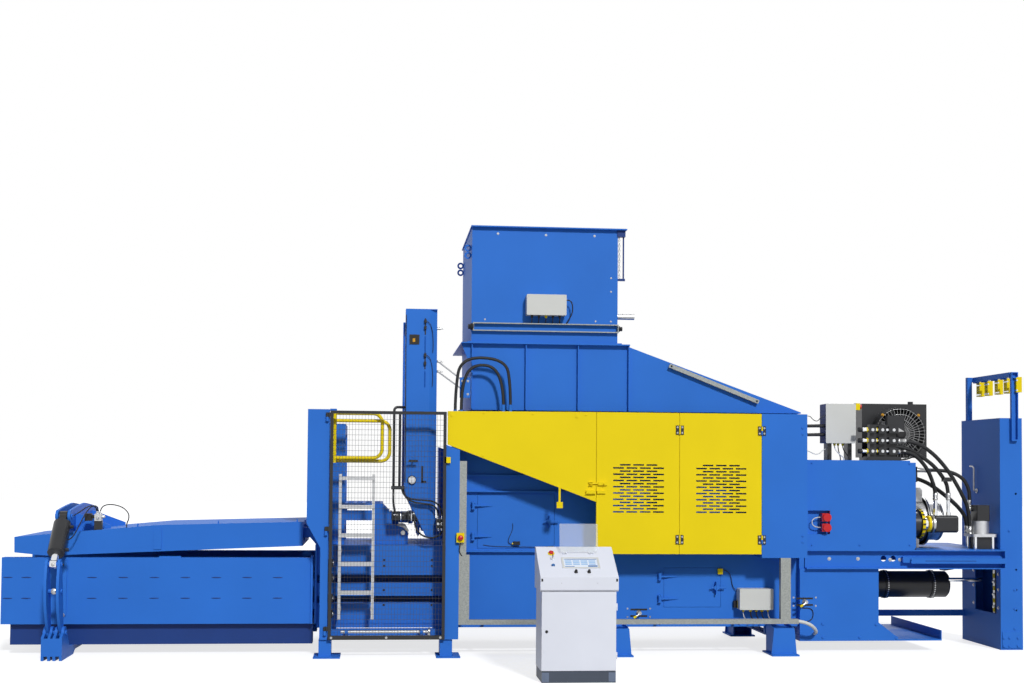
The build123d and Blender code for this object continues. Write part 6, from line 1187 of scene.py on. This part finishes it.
def spokes(count):
    """Unit vectors square to X, evenly spaced round it: (0, cos a, sin a)."""
    angle = np.linspace(0, 2 * np.pi, count, endpoint=False)
    return np.column_stack([np.zeros(count), np.cos(angle), np.sin(angle)])


PUMP_AXIS = (-530, 1302)
TOOTH_COUNT, TOOTH_RADIUS, TOOTH_RING = 18, 9, 152
teeth = Surface()
for spoke in spokes(TOOTH_COUNT):
    start, end = np.array([(4304, *PUMP_AXIS), (4327, *PUMP_AXIS)]) + TOOTH_RING * spoke
    rod(teeth, start, end, TOOTH_RADIUS, 8)
piece("coupling_teeth", teeth, BLACK_PLASTIC)

# %% [markdown]
# ## Pipes of the main cylinder and details of the tower
# A bright pipe leaves the cylinder's end towards the tower, and three dark ones rise
# to the deck. Round studs stand on the cylinder's two straps, evenly spaced. The tower
# carries a bent handle, a steel strip with yellow keys, and bolts.

# %% Cylinder pipes
PIPE_Y = -110
piece("cylinder_bright_pipe", rod(Surface(), (4800, PIPE_Y, 690), (5164, PIPE_Y, 690), 22, 20), CHROME)
pipes = Surface()
for y in (PIPE_Y + 50, PIPE_Y, PIPE_Y - 50):
    tube(pipes, rounded([(4730, y, 800), (4830, y, 812), (4990, y - 40, 860), (4990, y - 40, 900)]), 13)
piece("cylinder_pipes", pipes, BLACK)
CYLINDER_Z = 634
STUD_COUNT, STRAP_RADIUS = 40, 148
studs = Surface()
for x in (4132, 4643):
    for spoke in spokes(STUD_COUNT):
        turned(studs, (x, 0, CYLINDER_Z) + STRAP_RADIUS * spoke, spoke, [(0, 9), (4, 8)], 6)
piece("strap_studs", studs, STEEL)

# %% Tower handle, strip and bolts, and the inset of the frame's beam
GRIP_PATH = [(5162, -31, 1640), (5128, -31, 1640), (5128, -31, 1900), (5128, 66, 1908)]
grip = tube(Surface(), rounded(GRIP_PATH), 9)
turned(grip, (5160, -31, 1640), LEFT, [(0, 26), (6, 26), (8, 20)], 20)
piece("tower_handle", grip, ALUMINIUM)
strips = block(Surface(), (5172, -436, 366), (5190, -392, 815))
for z in (430, 560, 690):
    turned(strips, (5172, -414, z), LEFT, [(0, 15), (12, 15), (16, 9)], 16)
piece("tower_strip", strips, STEEL)
keys = Surface()
for z in (400, 495, 625, 755):
    block(keys, (5168, -432, z - 22), (5174, -396, z + 22))
piece("tower_strip_keys", keys, YELLOW)
side_bolts = [(5160, y, z) for y in (-545, 60) for z in (430, 620, 780)]
piece("tower_side_bolts", screws(Surface(), side_bolts, LEFT, 13, 9), STEEL)
piece("frame_inset", block(Surface(), (4142, -757, 903), (5150, -749, 957)), BLUE)
piece("frame_inset_slot", block(Surface(), (4290, -758, 927), (4830, -756, 933)), DEEP_BLUE)

# %% [markdown]
# ## Rollers of the wire guides
# Each guide on the tower is a yellow block, which belongs to the tower's solid. Two
# small bright rollers lie across each of them.

# %% Guide rollers
GUIDE_X, ROLLER_HALF = 5330, 46
rollers = Surface()
for y in (-600, -380, -160, 90, 300):
    for z in (2700, 2805):
        rod(rollers, (GUIDE_X, y - ROLLER_HALF, z), (GUIDE_X, y + ROLLER_HALF, z), 9, 14)
piece("guide_rollers", rollers, CHROME)

# %% [markdown]
# ## Camera, light and floor
# The photograph was taken from the front, a little left of the machine's middle,
# with a standard lens at eye height. Soft light comes from everywhere: an even world
# surrounds the machine, and two far lamps shape it.

# %% Camera
camera_data = bpy.data.cameras.new("camera")
camera_data.lens = 49.2
camera_data.sensor_width = 36
camera_data.shift_y = 0.0718
camera = bpy.data.objects.new("camera", camera_data)
camera.rotation_mode = "XYZ"
YAW, PITCH, ROLL = np.radians([-5.5, 2.2, 0.45])
camera.location = (-1.555, -13.898, 1.84)
camera.rotation_euler = (np.pi / 2 + PITCH, 0, YAW)
bpy.context.scene.collection.objects.link(camera)
camera.matrix_world = (
    Matrix.Translation(camera.location)
    @ camera.rotation_euler.to_matrix().to_4x4()
    @ Matrix.Rotation(ROLL, 4, "Z")
)
bpy.context.scene.camera = camera

# %% [markdown]
# The floor is pale. Where the camera sees it, directly or in a reflection, it also
# glows a little, so that it reads as white and still holds the machine's shadow.

# %% Floor and world
def seen_rays(tree):
    """The Light Path outputs for camera, glossy and transmission rays, joined by two Maximum nodes."""
    rays = tree.nodes.new("ShaderNodeLightPath")
    joined = rays.outputs["Is Camera Ray"]
    for other in ("Is Glossy Ray", "Is Transmission Ray"):
        larger = tree.nodes.new("ShaderNodeMath")
        larger.operation = "MAXIMUM"
        tree.links.new(joined, larger.inputs[0])
        tree.links.new(rays.outputs[other], larger.inputs[1])
        joined = larger.outputs["Value"]
    return joined


floor_mesh = bpy.data.meshes.new("floor")
EDGE = 60
corners = [(-EDGE, -EDGE, 0), (EDGE, -EDGE, 0), (EDGE, EDGE, 0), (-EDGE, EDGE, 0)]
floor_mesh.from_pydata(corners, [], [(0, 1, 2, 3)])
floor_paint = bpy.data.materials.new("floor_paint")
floor_paint.use_nodes = True
ground = floor_paint.node_tree
paint = ground.nodes["Principled BSDF"]
FLOOR_GREY = 0.42
paint.inputs["Base Color"].default_value = (FLOOR_GREY, FLOOR_GREY, FLOOR_GREY, 1)
paint.inputs["Roughness"].default_value = 0.9
paint.inputs["Specular IOR Level"].default_value = 0.1
glow = ground.nodes.new("ShaderNodeEmission")
glow.inputs["Color"].default_value = (1, 1, 1, 1)
glow.inputs["Strength"].default_value = 0.74
lit = ground.nodes.new("ShaderNodeAddShader")
ground.links.new(paint.outputs["BSDF"], lit.inputs[0])
ground.links.new(glow.outputs["Emission"], lit.inputs[1])
choice = ground.nodes.new("ShaderNodeMixShader")
ground.links.new(seen_rays(ground), choice.inputs["Fac"])
ground.links.new(paint.outputs["BSDF"], choice.inputs[1])
ground.links.new(lit.outputs["Shader"], choice.inputs[2])
ground.links.new(choice.outputs["Shader"], ground.nodes["Material Output"].inputs["Surface"])
floor_mesh.materials.append(floor_paint)
floor = bpy.data.objects.new("floor", floor_mesh)
bpy.context.scene.collection.objects.link(floor)

world = bpy.data.worlds.new("soft_world")
world.use_nodes = True
sky = world.node_tree
seen = sky.nodes.new("ShaderNodeBackground")
seen.inputs["Color"].default_value = (1, 1, 1, 1)
seen.inputs["Strength"].default_value = 1.0
mixed = sky.nodes.new("ShaderNodeMixShader")
sky.nodes["Background"].inputs["Color"].default_value = (0.92, 0.95, 1.0, 1)
sky.nodes["Background"].inputs["Strength"].default_value = 0.3
sky.links.new(seen_rays(sky), mixed.inputs["Fac"])
sky.links.new(sky.nodes["Background"].outputs["Background"], mixed.inputs[1])
sky.links.new(seen.outputs["Background"], mixed.inputs[2])
sky.links.new(mixed.outputs["Shader"], sky.nodes["World Output"].inputs["Surface"])
bpy.context.scene.world = world

# %% [markdown]
# The photograph's main light comes from the front, from above and a little from the
# right: the yellow guard darkens the wall below it. A wide, far lamp gives the same
# fall of light along all ten metres. A weaker one from behind fills the rear.

# %% Lamps
def far_lamp(name, towards, strength, spread):
    """A lamp whose rays all run one way; its spread in degrees softens the edge of the shadow."""
    data = bpy.data.lights.new(name, "SUN")
    data.energy = strength
    data.angle = np.radians(spread)
    made = bpy.data.objects.new(name, data)
    made.rotation_euler = Vector(towards).to_track_quat("-Z", "Y").to_euler()
    bpy.context.scene.collection.objects.link(made)


far_lamp("key", (-0.2, 0.8, -0.58), 2.5, 6)
far_lamp("rear_fill", (-0.35, -0.7, -0.6), 0.8, 25)
bpy.context.scene.view_settings.view_transform = "Standard"
print("camera, lamps and floor")
